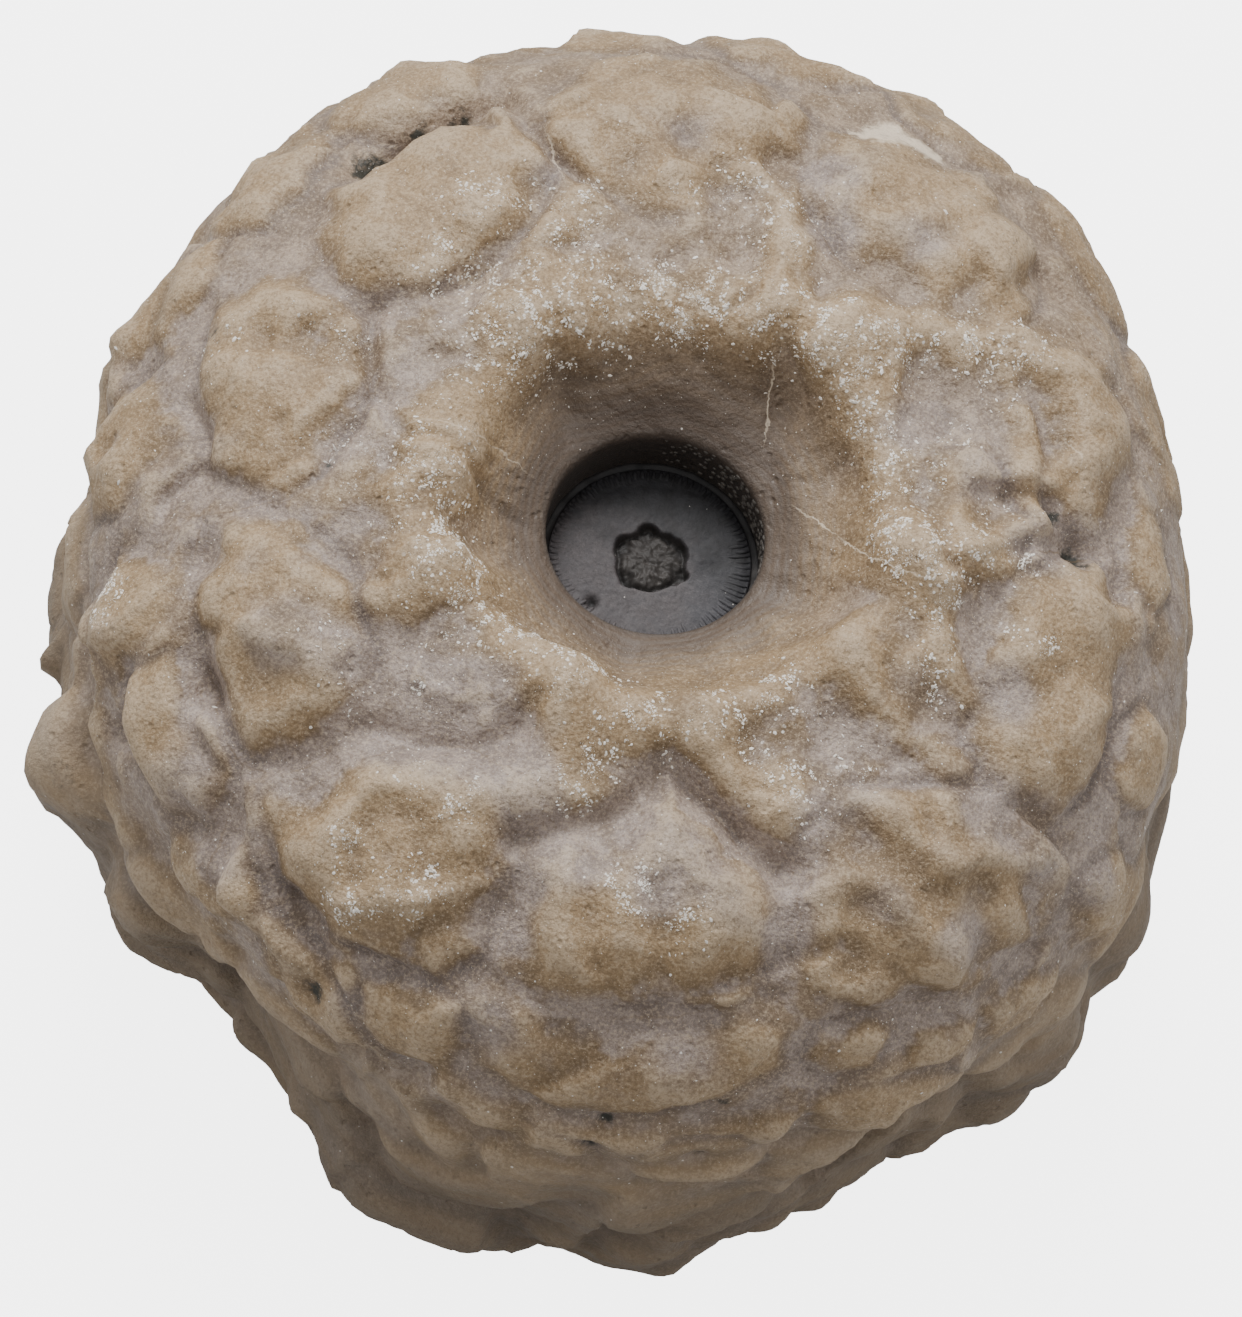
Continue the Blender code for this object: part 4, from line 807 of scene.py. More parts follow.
# the most that a mark can add up to
for mark, places, most in (("crumbs", CRUMB_PLACES, 2.2), ("clay", CLAY_PLACES, 1),
                           ("stain", STAIN_PLACES, 1), ("cavity", CAVITY_PLACES, 1),
                           ("chip", CHIP_PLACES, 1)):
    amounts = np.clip(spread(smooth_points, places), 0, most)
    store(cup, mark, amounts)
    print(mark, "on", round(100 * float((amounts > 0.3).mean()), 1), "% of the skin's points")
suture_distance, suture_strength = suture_field(smooth_points, smooth_normals)
store(cup, "suture_distance", suture_distance, pole_value=FAR_AWAY)
store(cup, "suture_strength", suture_strength)
print("suture shows on", round(100 * float((suture_strength != 0).mean()), 1), "% of the points")

# %% [markdown]
# ## Node helpers
# Finishes are made of nodes. They could be drawn by hand in the node editor, but written out here
# they can be read and changed line by line. Most need the same few steps: take a place on the
# stone in millimetres, make noise of a certain size, map a value to a mask, and lay one colour
# over another by it. What a node gives is wrapped as a Value, so masks are added and multiplied
# with plain signs, and a finish below reads like a recipe.


# %% Values and nodes
class Value:
    """What a node gives. Sums and products of values make the nodes that work them out."""

    def __init__(self, socket):
        self.socket, self.tree = socket, socket.id_data

    def __add__(self, other):
        return math_node("ADD", self, other)

    def __sub__(self, other):
        return math_node("SUBTRACT", self, other)

    def __mul__(self, other):
        return math_node("MULTIPLY", self, other)

    def __truediv__(self, other):
        return math_node("DIVIDE", self, other)

    def __rtruediv__(self, other):
        return math_node("DIVIDE", other, self)


def add_node(tree, kind, **settings):
    node = tree.nodes.new(kind)
    for name, value in settings.items():
        setattr(node, name, value)
    return node


def plug(socket, value):
    """Link a socket to a value, or give it a plain number, colour or other setting."""
    if isinstance(value, Value):
        value.tree.links.new(value.socket, socket)
    elif isinstance(value, tuple) and socket.type == "RGBA" and len(value) == 3:
        socket.default_value = (*value, 1.0)
    else:
        socket.default_value = value


def feed(node, **inputs):
    """Plug inputs by name; underscores stand for spaces."""
    for name, value in inputs.items():
        plug(node.inputs[name.replace("_", " ")], value)


def math_node(operation, a, b=0.0):
    tree = a.tree if isinstance(a, Value) else b.tree
    node = add_node(tree, "ShaderNodeMath", operation=operation)
    plug(node.inputs[0], a)
    plug(node.inputs[1], b)
    return Value(node.outputs[0])


def larger(a, b):
    return math_node("MAXIMUM", a, b)


# %% Places and noise
def attribute(tree, name):
    """A value stored on the mesh."""
    return Value(add_node(tree, "ShaderNodeAttribute", attribute_name=name).outputs["Fac"])


def millimetres(tree):
    """The place on the piece: object coordinates in millimetres."""
    mapping = add_node(tree, "ShaderNodeMapping")
    coordinates = add_node(tree, "ShaderNodeTexCoord")
    feed(mapping, Vector=Value(coordinates.outputs["Object"]), Scale=(1 / MM, 1 / MM, 1 / MM))
    return Value(mapping.outputs["Vector"])


def three_numbers(place):
    """The x, y and z of a place."""
    node = add_node(place.tree, "ShaderNodeSeparateXYZ")
    feed(node, Vector=place)
    return [Value(socket) for socket in node.outputs]


def noise(place, size, detail=3.0, roughness=0.55):
    """Noise with features of this size, about 0.5 on average. With no place, in Geometry Nodes, it
    follows the position."""
    node = add_node((size if place is None else place).tree, "ShaderNodeTexNoise")
    feed(node, Scale=1.0 / size, Detail=detail, Roughness=roughness)
    if place is not None:
        feed(node, Vector=place)
    return Value(node.outputs["Fac"])


def cells(place, spacing):
    """Distance to the nearest of scattered middles this far apart, and that middle's own colour."""
    node = add_node(place.tree, "ShaderNodeTexVoronoi", feature="F1")
    feed(node, Vector=place, Scale=1.0 / spacing)
    return Value(node.outputs["Distance"]), Value(node.outputs["Color"])


# %% Masks and colours
def span(value, low, high, to_low=0.0, to_high=1.0):
    """Map low..high to to_low..to_high, smoothly and clamped."""
    node = add_node(value.tree, "ShaderNodeMapRange", interpolation_type="SMOOTHSTEP")
    feed(node, Value=value, From_Min=low, From_Max=high, To_Min=to_low, To_Max=to_high)
    return Value(node.outputs["Result"])


def blend(mask, below, above):
    """One colour, and another over it as far as the mask says."""
    node = add_node(mask.tree, "ShaderNodeMix", data_type="RGBA")
    for number, value in ((0, mask), (6, below), (7, above)):
        plug(node.inputs[number], value)
    return Value(node.outputs[2])


def coats(colour, layers):
    """A colour under several coats, each a mask and the colour that it brings."""
    for mask, above in layers:
        colour = blend(mask, colour, above)
    return colour


# %% [markdown]
# ## Shared effects
# Patches of mineral, white specks, hair-fine lines, faint layers and grain turn up on several
# pieces of this fossil. Their nodes could be copied into each material, but a copy has to be
# mended everywhere. So each effect is a group: a small machine with named sockets that finishes
# share. It gives only a mask or a height, and the material decides on the colour.

# %% Helpers for groups
FLOAT, VECTOR = "NodeSocketFloat", "NodeSocketVector"


def new_group(name, inputs, outputs):
    """A group that takes a place and named numbers: the values it is given, and its output node."""
    tree = bpy.data.node_groups.new(name, "ShaderNodeTree")
    tree.interface.new_socket("Place", in_out="INPUT", socket_type=VECTOR)
    for socket_name, value in inputs.items():
        socket = tree.interface.new_socket(socket_name, in_out="INPUT", socket_type=FLOAT)
        socket.default_value = value
    for socket_name in outputs:
        tree.interface.new_socket(socket_name, in_out="OUTPUT", socket_type=FLOAT)
    entrance, result = tree.nodes.new("NodeGroupInput"), tree.nodes.new("NodeGroupOutput")
    return tree, {socket.name: Value(socket) for socket in entrance.outputs}, result


def use_group(group, place, output=0, **inputs):
    node = add_node(place.tree, "ShaderNodeGroup", node_tree=group)
    feed(node, Place=place, **inputs)
    return Value(node.outputs[output])


# %% Group: mineral mottle
mottle, given, result = new_group(
    "mineral_mottle", {"Patch size": 3.0, "Low": 0.4, "High": 0.6}, ["Mask"])
patches = noise(given["Place"], given["Patch size"], detail=3.0, roughness=0.65)
feed(result, Mask=span(patches, given["Low"], given["High"]))


def patches_of(place, size, low, high):
    """Mineral patches of this size in mm, from none where the noise is low to full where high."""
    return use_group(mottle, place, Patch_size=size, Low=low, High=high)


# %% Group: white specks
specks, given, result = new_group(
    "white_specks", {"Spacing": 0.5, "Speck size": 0.2, "Share": 0.3}, ["Mask"])
wobble = noise(given["Place"], 0.12, detail=0.0)
distance, own_colour = cells(given["Place"], given["Spacing"])
chosen = add_node(specks, "ShaderNodeSeparateColor")
feed(chosen, Color=own_colour)
size = given["Speck size"] * (Value(chosen.outputs[1]) * (wobble + 0.5))
inside = math_node("LESS_THAN", distance, size)
feed(result, Mask=inside * math_node("LESS_THAN", Value(chosen.outputs[0]), given["Share"]))

# %% Group: suture line
suture, given, result = new_group(
    "suture_line", {"Distance": FAR_AWAY, "Strength": 0.0, "Half width": 0.06}, ["Dark", "Pale"])
wander = noise(given["Place"], 0.9, detail=3.0, roughness=0.65) - 0.5
away = math_node("ABSOLUTE", given["Distance"] + wander * 0.7) / given["Half width"]
broken = span(noise(given["Place"], 1.4, detail=1.0), 0.34, 0.5, 0.25, 1.0)
line = span(away, 1.0, 0.2) * broken
feed(result, Dark=line * larger(given["Strength"], 0.0),
     Pale=line * larger(given["Strength"] * -1.0, 0.0))

# %% Group: faint layers
layers, given, result = new_group("faint_layers", {"Level": 0.0, "Thickness": 1.0}, ["Mask"])
wave = given["Level"] + noise(given["Place"], 6.0, detail=1.0) * 3.0
stripe = math_node("SINE", wave / given["Thickness"] * (2 * math.pi))
stripe = (stripe + 1.0) * 0.5
feed(result, Mask=stripe * noise(given["Place"], 2.5, detail=2.0))

# %% Group: grain height
grain, given, result = new_group(
    "grain_height", {"Fine": 0.35, "Coarse": 0.8, "Pits": 0.3}, ["Height"])
fine = noise(given["Place"], 0.14, detail=2.0, roughness=0.7) * given["Fine"]
coarse = noise(given["Place"], 0.7, detail=2.0, roughness=0.6) * given["Coarse"]
distance, own_colour = cells(given["Place"], 0.8)
feed(result, Height=fine + coarse - span(distance, 0.22, 0.05) * given["Pits"])
print("groups:", ", ".join(group.name for group in (mottle, specks, suture, layers, grain)))


def grainy(shader, place, strength, distance, **heights):
    """Fine grain on a material: a bump of this strength and distance in metres."""
    bump = add_node(place.tree, "ShaderNodeBump")
    feed(bump, Height=use_group(grain, place, **heights), Strength=strength, Distance=distance)
    feed(shader, Normal=Value(bump.outputs["Normal"]))


# %% [markdown]
# ## Calyx stone
# The cup is weathered limestone. Its swellings are tan, their flanks ochre brown, and grey-lilac
# clay lies in the valleys, lighter than the flanks above it. Crests are rubbed pale and some spots
# are stained brown. A painted picture could show all that from one side only. Here every colour is
# a coat over the last one, laid where a mask says so. The masks come from the attributes stored
# above, broken up by mottle of three sizes, so no edge is clean and every side is covered.

# %% Colours of the stone
TAN, OCHRE, BROWN = (0.440, 0.308, 0.175), (0.300, 0.198, 0.100), (0.172, 0.114, 0.062)
LILAC, CLAY_GREY, PALE = (0.385, 0.318, 0.290), (0.245, 0.200, 0.183), (0.620, 0.485, 0.340)
# the cavity black is painted shade in the open cavities
WHITE, CAVITY_SHADE_BLACK, CHIP_PALE = (0.98, 0.94, 0.87), (0.022, 0.024, 0.018), (0.82, 0.69, 0.53)
PIT_BROWN, PIT_GREY, WALL_GREY = (0.098, 0.071, 0.055), (0.046, 0.040, 0.037), (0.300, 0.240, 0.180)
# the foot brown is painted shade on the lower wall
FOOT_SHADE_BROWN, SEAM_GREY = (0.080, 0.060, 0.043), (0.165, 0.132, 0.122)
RING_GREY = (0.190, 0.170, 0.155)


def new_material(name):
    """A material, its tree and its main shader."""
    material = bpy.data.materials.new(name)
    material.use_nodes = True
    tree = material.node_tree
    return material, tree, tree.nodes["Principled BSDF"]


# %% Calyx stone: what the masks are made of
stone, tree, shader = new_material("calyx_stone")
cup.data.materials.append(stone)
crest, boss, valley, seam, pit, out, clay, stain, crumbs, cavity, chip = (
    attribute(tree, name) for name in
    ("crest", "boss", "valley", "seam", "pit", "out", "clay", "stain", "crumbs", "cavity", "chip"))
place = millimetres(tree)
far = three_numbers(place)[1]
wide_patch = patches_of(place, 5.0, low=0.40, high=0.62)
small_patch = patches_of(place, 1.4, low=0.38, high=0.64)
fine_patch = patches_of(place, 0.4, low=0.34, high=0.70)
small_change, fine_change = small_patch - 0.5, fine_patch - 0.5
haze = noise(place, 2.6, detail=3.0, roughness=0.6)
powdery = noise(place, 0.9, detail=3.0, roughness=0.7)

# %% Calyx stone: tan swellings, ochre patches, brown flanks and dips
level = boss + small_change * 0.5
flank = span(level, 0.35, -0.25) * span(level, -1.1, -0.5)
dip = span(crest + small_change * -0.5, -0.05, -0.85)
colour = coats(TAN, [
    (wide_patch * 0.55, OCHRE), (small_patch * 0.50, OCHRE), (fine_patch * 0.30, OCHRE),
    (flank * 0.55, BROWN), (dip * 0.50, BROWN)])

# %% Calyx stone: clay in the valleys, thinner in the pit, on the far side and on the wall
low = larger(span(level, -0.15, -0.80) * 0.9, valley * span(haze, 0.34, 0.58, 0.25, 0.9))
low = larger(low, span(haze, 0.60, 0.78, 0.0, 0.45)) * span(far, 2.0, 14.0, 1.0, 0.5)
marked = span(clay + (haze - 0.5) * 0.9, 0.10, 0.65)
low = larger(low, marked) * span(out, -3.5, 0.5, 0.15, 1.0) * span(out, 16.0, 20.0, 1.0, 0.6)
colour = coats(colour, [
    (low * 0.88, blend(small_patch, LILAC, CLAY_GREY)),
    (seam * span(haze, 0.30, 0.55, 0.25, 0.85), SEAM_GREY)])

# %% Calyx stone: rubbed crests, dust with painted light on the far side, stains and fine dots
rubbed = span(crest + fine_change * 0.6, 0.25, 1.1)
dust = math_node("MINIMUM", crumbs * span(powdery, 0.44, 0.62), 1.0)
stained = span(stain + small_change * 0.5, 0.15, 0.85, 0.0, 0.55)
dots = noise(place, 0.16, detail=2.0, roughness=0.85)
# the dust coat is partly real dust and partly painted light: it is stronger on the far side, where
# the crests face the lamp
colour = coats(colour, [
    (rubbed * 0.45, PALE), (dust * span(far, -4.0, 8.0, 0.15, 0.55), PALE), (stained, BROWN),
    (span(dots, 0.49, 0.66, 0.0, 0.42), PALE), (span(dots, 0.51, 0.34, 0.0, 0.50), BROWN)])

# %% [markdown]
# The pit is browner and darker the deeper it goes, with faint rings where older discs were pressed
# in, and its far side is darkened further as painted shade. The wall is greyer and faintly layered,
# and darkens to brown towards its foot as painted shade. These could be materials of their own, but
# then a hard edge would show where they meet. As further coats they fade in with the distance out
# from the rim.

# %% Calyx stone: pit and wall
rings = use_group(layers, place, Level=out, Thickness=0.45) * span(out, -2.2, -4.0)
# painted shade: the pit's far wall, which faces away from the strongest lamp, is darkened
far_wall_shade = span(out, -1.2, -3.6) * span(far, 1.0, 6.5)
wall = span(out + wide_patch * 2.0, 17.5, 22.5)
band = use_group(layers, place, Level=out, Thickness=1.7)
# the last coat darkens the wall towards its foot: painted shade
colour = coats(colour, [
    (span(pit, 0.05, 0.60) * 0.85, PIT_BROWN), (rings * 0.45, RING_GREY),
    (far_wall_shade * 0.60, PIT_BROWN), (span(pit, 0.65, 0.98) * 0.92, PIT_GREY),
    (wall * 0.50, blend(band * 0.9, WALL_GREY, TAN)),
    (span(out, 20.0, 25.5, 0.0, 0.50), FOOT_SHADE_BROWN)])

# %% Calyx stone: a fresh chip, cavities painted dark as shade, and sutures
chipped = span(chip + (small_change + fine_change) * 0.35, 0.25, 0.85, 0.0, 0.85)
hole = span(cavity + fine_change * 0.35, 0.25, 0.7)
suture_here = {"Distance": attribute(tree, "suture_distance"),
               "Strength": attribute(tree, "suture_strength")}
dark_line = use_group(suture, place, output="Dark", Half_width=0.075, **suture_here)
pale_line = use_group(suture, place, output="Pale", Half_width=0.05, **suture_here)
# the cavity coat is painted shade: the open cavities are darkened to near black
colour = coats(colour, [
    (chipped, CHIP_PALE), (hole * 0.93, CAVITY_SHADE_BLACK),
    (dark_line * 0.60, BROWN), (pale_line * 0.75, CHIP_PALE)])

# %% Calyx stone: white specks and grain
thin_specks = use_group(specks, place, Spacing=0.6, Speck_size=0.09, Share=0.45)
dusted = use_group(specks, place, Spacing=0.17, Speck_size=0.50, Share=0.60)
dusted = dusted * span(crumbs * span(powdery, 0.44, 0.60), 0.12, 0.6)
speck = larger(thin_specks * span(out, 32.0, 18.0), dusted)
feed(shader, Base_Color=blend(speck * 0.80, colour, WHITE), Metallic=0.0,
     Roughness=small_patch * 0.14 + 0.50)
grainy(shader, place, strength=0.8, distance=0.00020, Fine=0.35, Coarse=0.8, Pits=0.35)
print("calyx stone:", len(tree.nodes), "nodes")

# %% [markdown]
# ## The stem disc
# The last disc of the stem is still in its socket. Its face has a hollow with five rounded lobes,
# half filled with rough stone. It could be cut out of a cylinder with a Boolean, but the cut would
# leave sharp edges and uneven faces. So the disc is a grid like the cup: columns round the axis,
# and rows from the middle of its face over the edge and in underneath, and its face is lowered
# where the hollow is.

# %% Size of the disc and its hollow
DISC_RADIUS = (DISC_HIGH.x - DISC_LOW.x) / 2 / MM
DISC_UNDERSIDE = DISC_LOW.z / MM
# azimuths of the lobes and their half width, in degrees
LUMEN_LOBES, LOBE_HALF_WIDTH = (31, 108, 160, 232, 345), 28.0
LUMEN_RADIUS, LUMEN_DEPTH, LOBE_REACH = 1.50, 0.50, 0.22
DISC_COLUMNS = 288
DISC_ROWS = 68
disc_azimuths = np.arange(DISC_COLUMNS) * 360.0 / DISC_COLUMNS
disc_radii = np.linspace(0.06, DISC_RADIUS, DISC_ROWS)
disc_turn, disc_radius = np.meshgrid(disc_azimuths, disc_radii, indexing="ij")
disc_places = around_axis(disc_turn, disc_radius, 0.0)
print("disc of radius", round(DISC_RADIUS, 2), "mm; hollow", LUMEN_RADIUS, "mm")

# %% The hollow, its filling and a pin hole
lobes = sum(hump(turn_between(disc_turn, lobe) / LOBE_HALF_WIDTH) for lobe in LUMEN_LOBES)
lumen_edge = LUMEN_RADIUS + LOBE_REACH * (lobes - 0.4) + 0.13 * lumps(disc_places, 0.45, seed=20)
hollow = fade((lumen_edge - disc_radius) / 0.22)
fill = fade((0.97 * lumen_edge - disc_radius) / (0.25 * lumen_edge))
fill = fill * (1.0 - 0.75 * lobes * fade((disc_radius - 0.7) / 0.6))
PIN_AZIMUTH, PIN_OUT, PIN_RADIUS, PIN_DEPTH = 231.0, 3.0, 0.22, 0.25
pin_middle = around_axis(np.array(PIN_AZIMUTH), PIN_OUT, 0.0)
pin_hole = np.exp(-(np.linalg.norm(disc_places - pin_middle, axis=-1) / PIN_RADIUS) ** 2)

# %% Height of the face, and the rows of the edge
near_side = 0.5 - 0.5 * np.sin(np.radians(disc_turn)) * fade(disc_radius / 0.8)
face = FACE_HEIGHT - LUMEN_DEPTH * hollow + (0.28 + 0.18 * near_side) * fill - PIN_DEPTH * pin_hole
# roughness: height, size in mm, seed, and where it lies
for rough, size, seed, where in ((0.09, 0.36, 21, hollow), (0.02, 0.9, 22, 1.0),
                                 (0.06, 0.18, 24, hollow), (0.010, 0.25, 23, 1.0)):
    face = face + rough * lumps(disc_places, size, seed) * where
face = face - 0.05 * fade((disc_radius - 3.5) / 0.5)
disc_edge = [(DISC_RADIUS + 0.02, FACE_HEIGHT - 0.35), (DISC_RADIUS, DISC_UNDERSIDE + 0.05),
             (DISC_RADIUS - 0.3, DISC_UNDERSIDE)]
edge_points = np.stack([around_axis(disc_azimuths, *ring) for ring in disc_edge], axis=1)
disc_points = np.concatenate([around_axis(disc_turn, disc_radius, face), edge_points], axis=1)
disc_poles = [[0, 0, face[:, 0].mean()], [0, 0, DISC_UNDERSIDE]]
print("disc face from", round(float(face.min()), 2), "to", round(float(face.max()), 2), "mm")

# %% Make the disc
disc = skin_object("stem_disc_body", np.vstack([disc_points.reshape(-1, 3), disc_poles]),
                   skin_faces(DISC_COLUMNS, disc_points.shape[1]))
nothing_on_edge = np.zeros((DISC_COLUMNS, len(disc_edge)))
for mark, values in (("hollow", hollow), ("lobe", hollow * np.clip(1.0 - fill, 0, 1)),
                     ("pin_hole", pin_hole)):
    store(disc, mark, np.concatenate([values, nothing_on_edge], axis=1))
print("disc:", len(disc.data.polygons), "faces")

# %% [markdown]
# ## Disc stone
# The disc is fine grey stone with a breath of violet, blue-grey towards one side, and its far side
# is darkened to almost black as painted shadow. The rough filling of the hollow is browner with
# pale blobs, and its open lobes and pin hole are painted black as painted shade. A plain grey would
# look like plastic at this size. So the colour is built in coats, like that of the calyx, with
# finer patches.

# %% Disc stone material
DISC_GREY, DISC_BLUE = (0.080, 0.068, 0.069), (0.046, 0.046, 0.054)
FLECK_PALE = (0.180, 0.165, 0.165)
# the darkest grey serves dark flecks and the painted shadow on the far side; the black is painted
# shade in the open lobes and the pin hole
DISC_DARK_AND_SHADOW, LOBE_SHADE_BLACK = (0.006, 0.005, 0.006), (0.012, 0.011, 0.011)
FILL_BROWN, FILL_PALE = (0.034, 0.029, 0.026), (0.050, 0.043, 0.039)
disc_stone, tree, shader = new_material("disc_stone")
disc.data.materials.append(disc_stone)
place = millimetres(tree)
side, far, up = three_numbers(place)
broad = patches_of(place, 2.2, low=0.36, high=0.66)
small = patches_of(place, 0.5, low=0.36, high=0.66)
fleck = noise(place, 0.14, detail=4.0, roughness=0.8)
# painted shadow: the far side of the disc is darkened to almost black
shade = far + broad * 1.4 + side * 0.25
glint = use_group(specks, place, Spacing=0.35, Speck_size=0.10, Share=0.20)
# the lobe and pin hole coats are painted shade in the open holes
colour = coats(DISC_GREY, [
    (span(side + broad * 1.2, 0.8, 3.6) * 0.85, DISC_BLUE),
    (span(fleck, 0.50, 0.68, 0.0, 0.35), FLECK_PALE),
    (span(fleck, 0.50, 0.32, 0.0, 0.45), DISC_DARK_AND_SHADOW),
    (span(shade, -0.4, 2.8, 0.0, 0.97), DISC_DARK_AND_SHADOW), (small * 0.25, DISC_BLUE),
    (attribute(tree, "hollow"), blend(small, FILL_BROWN, FILL_PALE)),
    (attribute(tree, "lobe") * 0.85, LOBE_SHADE_BLACK), (attribute(tree, "pin_hole"), LOBE_SHADE_BLACK),
    (glint * 0.6, WHITE)])
feed(shader, Base_Color=colour, Roughness=0.62, Metallic=0.0)
grainy(shader, place, strength=0.5, distance=0.00008, Fine=0.5, Coarse=0.4, Pits=0.2)
print("disc stone:", len(tree.nodes), "nodes")

# %% [markdown]
# ## The cement ring
# Mineral has grown in the gap between the disc and its socket and holds the disc fast. Widening
# the disc until it meets the wall would be simpler, but the gap is what shows that it is a piece
# of its own. So the cement is a plain ring of uneven height, a little higher on the socket's side.

# %% Cement ring
CEMENT_DARK, CEMENT_PALE = (0.030, 0.026, 0.024), (0.070, 0.060, 0.053)
# (out from the disc, up from the ring's top) round the section
RING_SECTION = [
    (-0.05, -0.60), (-0.04, -0.06), (0.06, 0.0), (0.20, 0.04), (0.36, 0.10), (0.36, -0.60),
]
ring_top = FACE_HEIGHT - 0.16 + 0.08 * lumps(around_axis(disc_azimuths, 4.1, 0.0), 0.7, seed=25)
ring_points = np.stack([around_axis(disc_azimuths, DISC_RADIUS + wide, ring_top + high)
                        for wide, high in RING_SECTION], axis=1)
corners = len(RING_SECTION)
ring_faces = []
for i in range(DISC_COLUMNS):
    here, beside = i * corners, (i + 1) % DISC_COLUMNS * corners
    ring_faces += [(here + k, here + (k + 1) % corners, beside + (k + 1) % corners, beside + k)
                   for k in range(corners)]
cement = skin_object("cement_ring", ring_points.reshape(-1, 3), ring_faces)

cement_stone, tree, shader = new_material("cement_stone")
cement.data.materials.append(cement_stone)
place = millimetres(tree)
far = three_numbers(place)[1]
# painted shadow: the far side of the ring is darkened
colour = coats(CEMENT_DARK, [(patches_of(place, 0.7, low=0.38, high=0.62), CEMENT_PALE),
                             (span(far, -2.0, 2.5, 0.0, 0.85), DISC_DARK_AND_SHADOW)])
feed(shader, Base_Color=colour, Roughness=0.6)
print("cement ring:", len(ring_faces), "faces")

# %% [markdown]
# ## Small shapes on given points
# The disc's rim carries about ninety fine ribs that once gripped the next disc, and the socket
# wall keeps rows of beads where older discs pressed on it. Each is a long or round pebble, set
# down many times. A loop could copy and join them one by one, which is slow. A Geometry Nodes tree
# does it in one go: it puts an icosphere on every point of a cloud, turned and sized by what the
# point carries.


# %% Helpers for Geometry Nodes
def shape_tree(name, inputs):
    """A tree that takes a geometry and the named inputs: the values, and its output node."""
    tree = bpy.data.node_groups.new(name, "GeometryNodeTree")
    for socket_name, kind in {"Geometry": "Geometry", **inputs}.items():
        tree.interface.new_socket(socket_name, in_out="INPUT", socket_type="NodeSocket" + kind)
    tree.interface.new_socket("Geometry", in_out="OUTPUT", socket_type="NodeSocketGeometry")
    entrance, result = tree.nodes.new("NodeGroupInput"), tree.nodes.new("NodeGroupOutput")
    return tree, {socket.name: Value(socket) for socket in entrance.outputs}, result


def carried(tree, name, kind):
    """A named attribute of the points."""
    node = add_node(tree, "GeometryNodeInputNamedAttribute", data_type=kind)
    feed(node, Name=name)
    return Value(node.outputs["Attribute"])


def finish_tree(instances, material, result):
    """Every tree ends in Realize Instances and Set Material."""
    real = add_node(instances.tree, "GeometryNodeRealizeInstances")
    feed(real, Geometry=instances)
    painted = add_node(instances.tree, "GeometryNodeSetMaterial")
    feed(painted, Geometry=Value(real.outputs["Geometry"]), Material=material)
    feed(result, Geometry=Value(painted.outputs["Geometry"]))


def grown(name, source, tree, inputs):
    """Run a tree on an object, and keep the result as a plain mesh object."""
    modifier = source.modifiers.new("grow", "NODES")
    modifier.node_group = tree
    for socket in tree.interface.items_tree:
        if socket.in_out == "INPUT" and socket.name in inputs:
            modifier[socket.identifier] = inputs[socket.name]
    evaluated = source.evaluated_get(bpy.context.evaluated_depsgraph_get())
    mesh = bpy.data.meshes.new_from_object(evaluated)
    source.modifiers.remove(modifier)
    mesh.name = name + "_mesh"
    mesh.shade_smooth()
    print(name + ":", len(mesh.polygons), "faces")
    return add_object(name, mesh)


# %% Tree: pebbles on points
pebbles, given, result = shape_tree(
    "pebbles_on_points", {"Roundness": "Int", "Material": "Material"})
cloud = add_node(pebbles, "GeometryNodeMeshToPoints")
feed(cloud, Mesh=given["Geometry"])
pebble = add_node(pebbles, "GeometryNodeMeshIcoSphere")
feed(pebble, Radius=1.0, Subdivisions=given["Roundness"])
placed = add_node(pebbles, "GeometryNodeInstanceOnPoints")
feed(placed, Points=Value(cloud.outputs["Points"]), Instance=Value(pebble.outputs["Mesh"]),
     Rotation=carried(pebbles, "turn", "FLOAT_VECTOR"),
     Scale=carried(pebbles, "size", "FLOAT_VECTOR"))
finish_tree(Value(placed.outputs["Instances"]), given["Material"], result)


def pebbles_at(name, points, turns, sizes, roundness, material):
    """Pebbles at points (mm), turned by Euler angles (radians), with half sizes in mm."""
    mesh = bpy.data.meshes.new(name + "_points")
    mesh.from_pydata((np.asarray(points) * MM).tolist(), [], [])
    for label, values in (("turn", np.asarray(turns)), ("size", np.asarray(sizes) * MM)):
        layer = mesh.attributes.new(label, "FLOAT_VECTOR", "POINT")
        layer.data.foreach_set("vector", values.astype(np.float32).ravel())
    holder = add_object(name + "_points", mesh)
    piece = grown(name, holder, pebbles, {"Roundness": roundness, "Material": material})
    bpy.data.objects.remove(holder)
    return piece


# %% Ribs on the rim of the disc
RIB_COUNT, RIB_INNER, RIB_OUTER = 92, 2.95, DISC_RADIUS - 0.02
CLEAR_SIDE, CLEAR_SPREAD = 300, 125  # where the ribs are worn least
random = np.random.default_rng(31)
rib_turn = (np.arange(RIB_COUNT) + random.uniform(-0.15, 0.15, RIB_COUNT)) * 360.0 / RIB_COUNT
shown = 0.30 + 0.70 * fade(1.35 * hump(turn_between(rib_turn, CLEAR_SIDE) / CLEAR_SPREAD))
inner = RIB_INNER + 0.5 * (1.0 - shown) + random.uniform(-0.15, 0.25, RIB_COUNT)
middle, half_length = 0.5 * (inner + RIB_OUTER), 0.5 * (RIB_OUTER - inner)
half_width = random.uniform(0.09, 0.12, RIB_COUNT)
ribs = pebbles_at(
    "disc_ribs", around_axis(rib_turn, middle, FACE_HEIGHT - 0.045),
    np.stack([0 * rib_turn, 0 * rib_turn, np.radians(rib_turn)], axis=-1),
    np.stack([half_length, half_width, 0.055 + 0.025 * shown], axis=-1), 2, disc_stone)

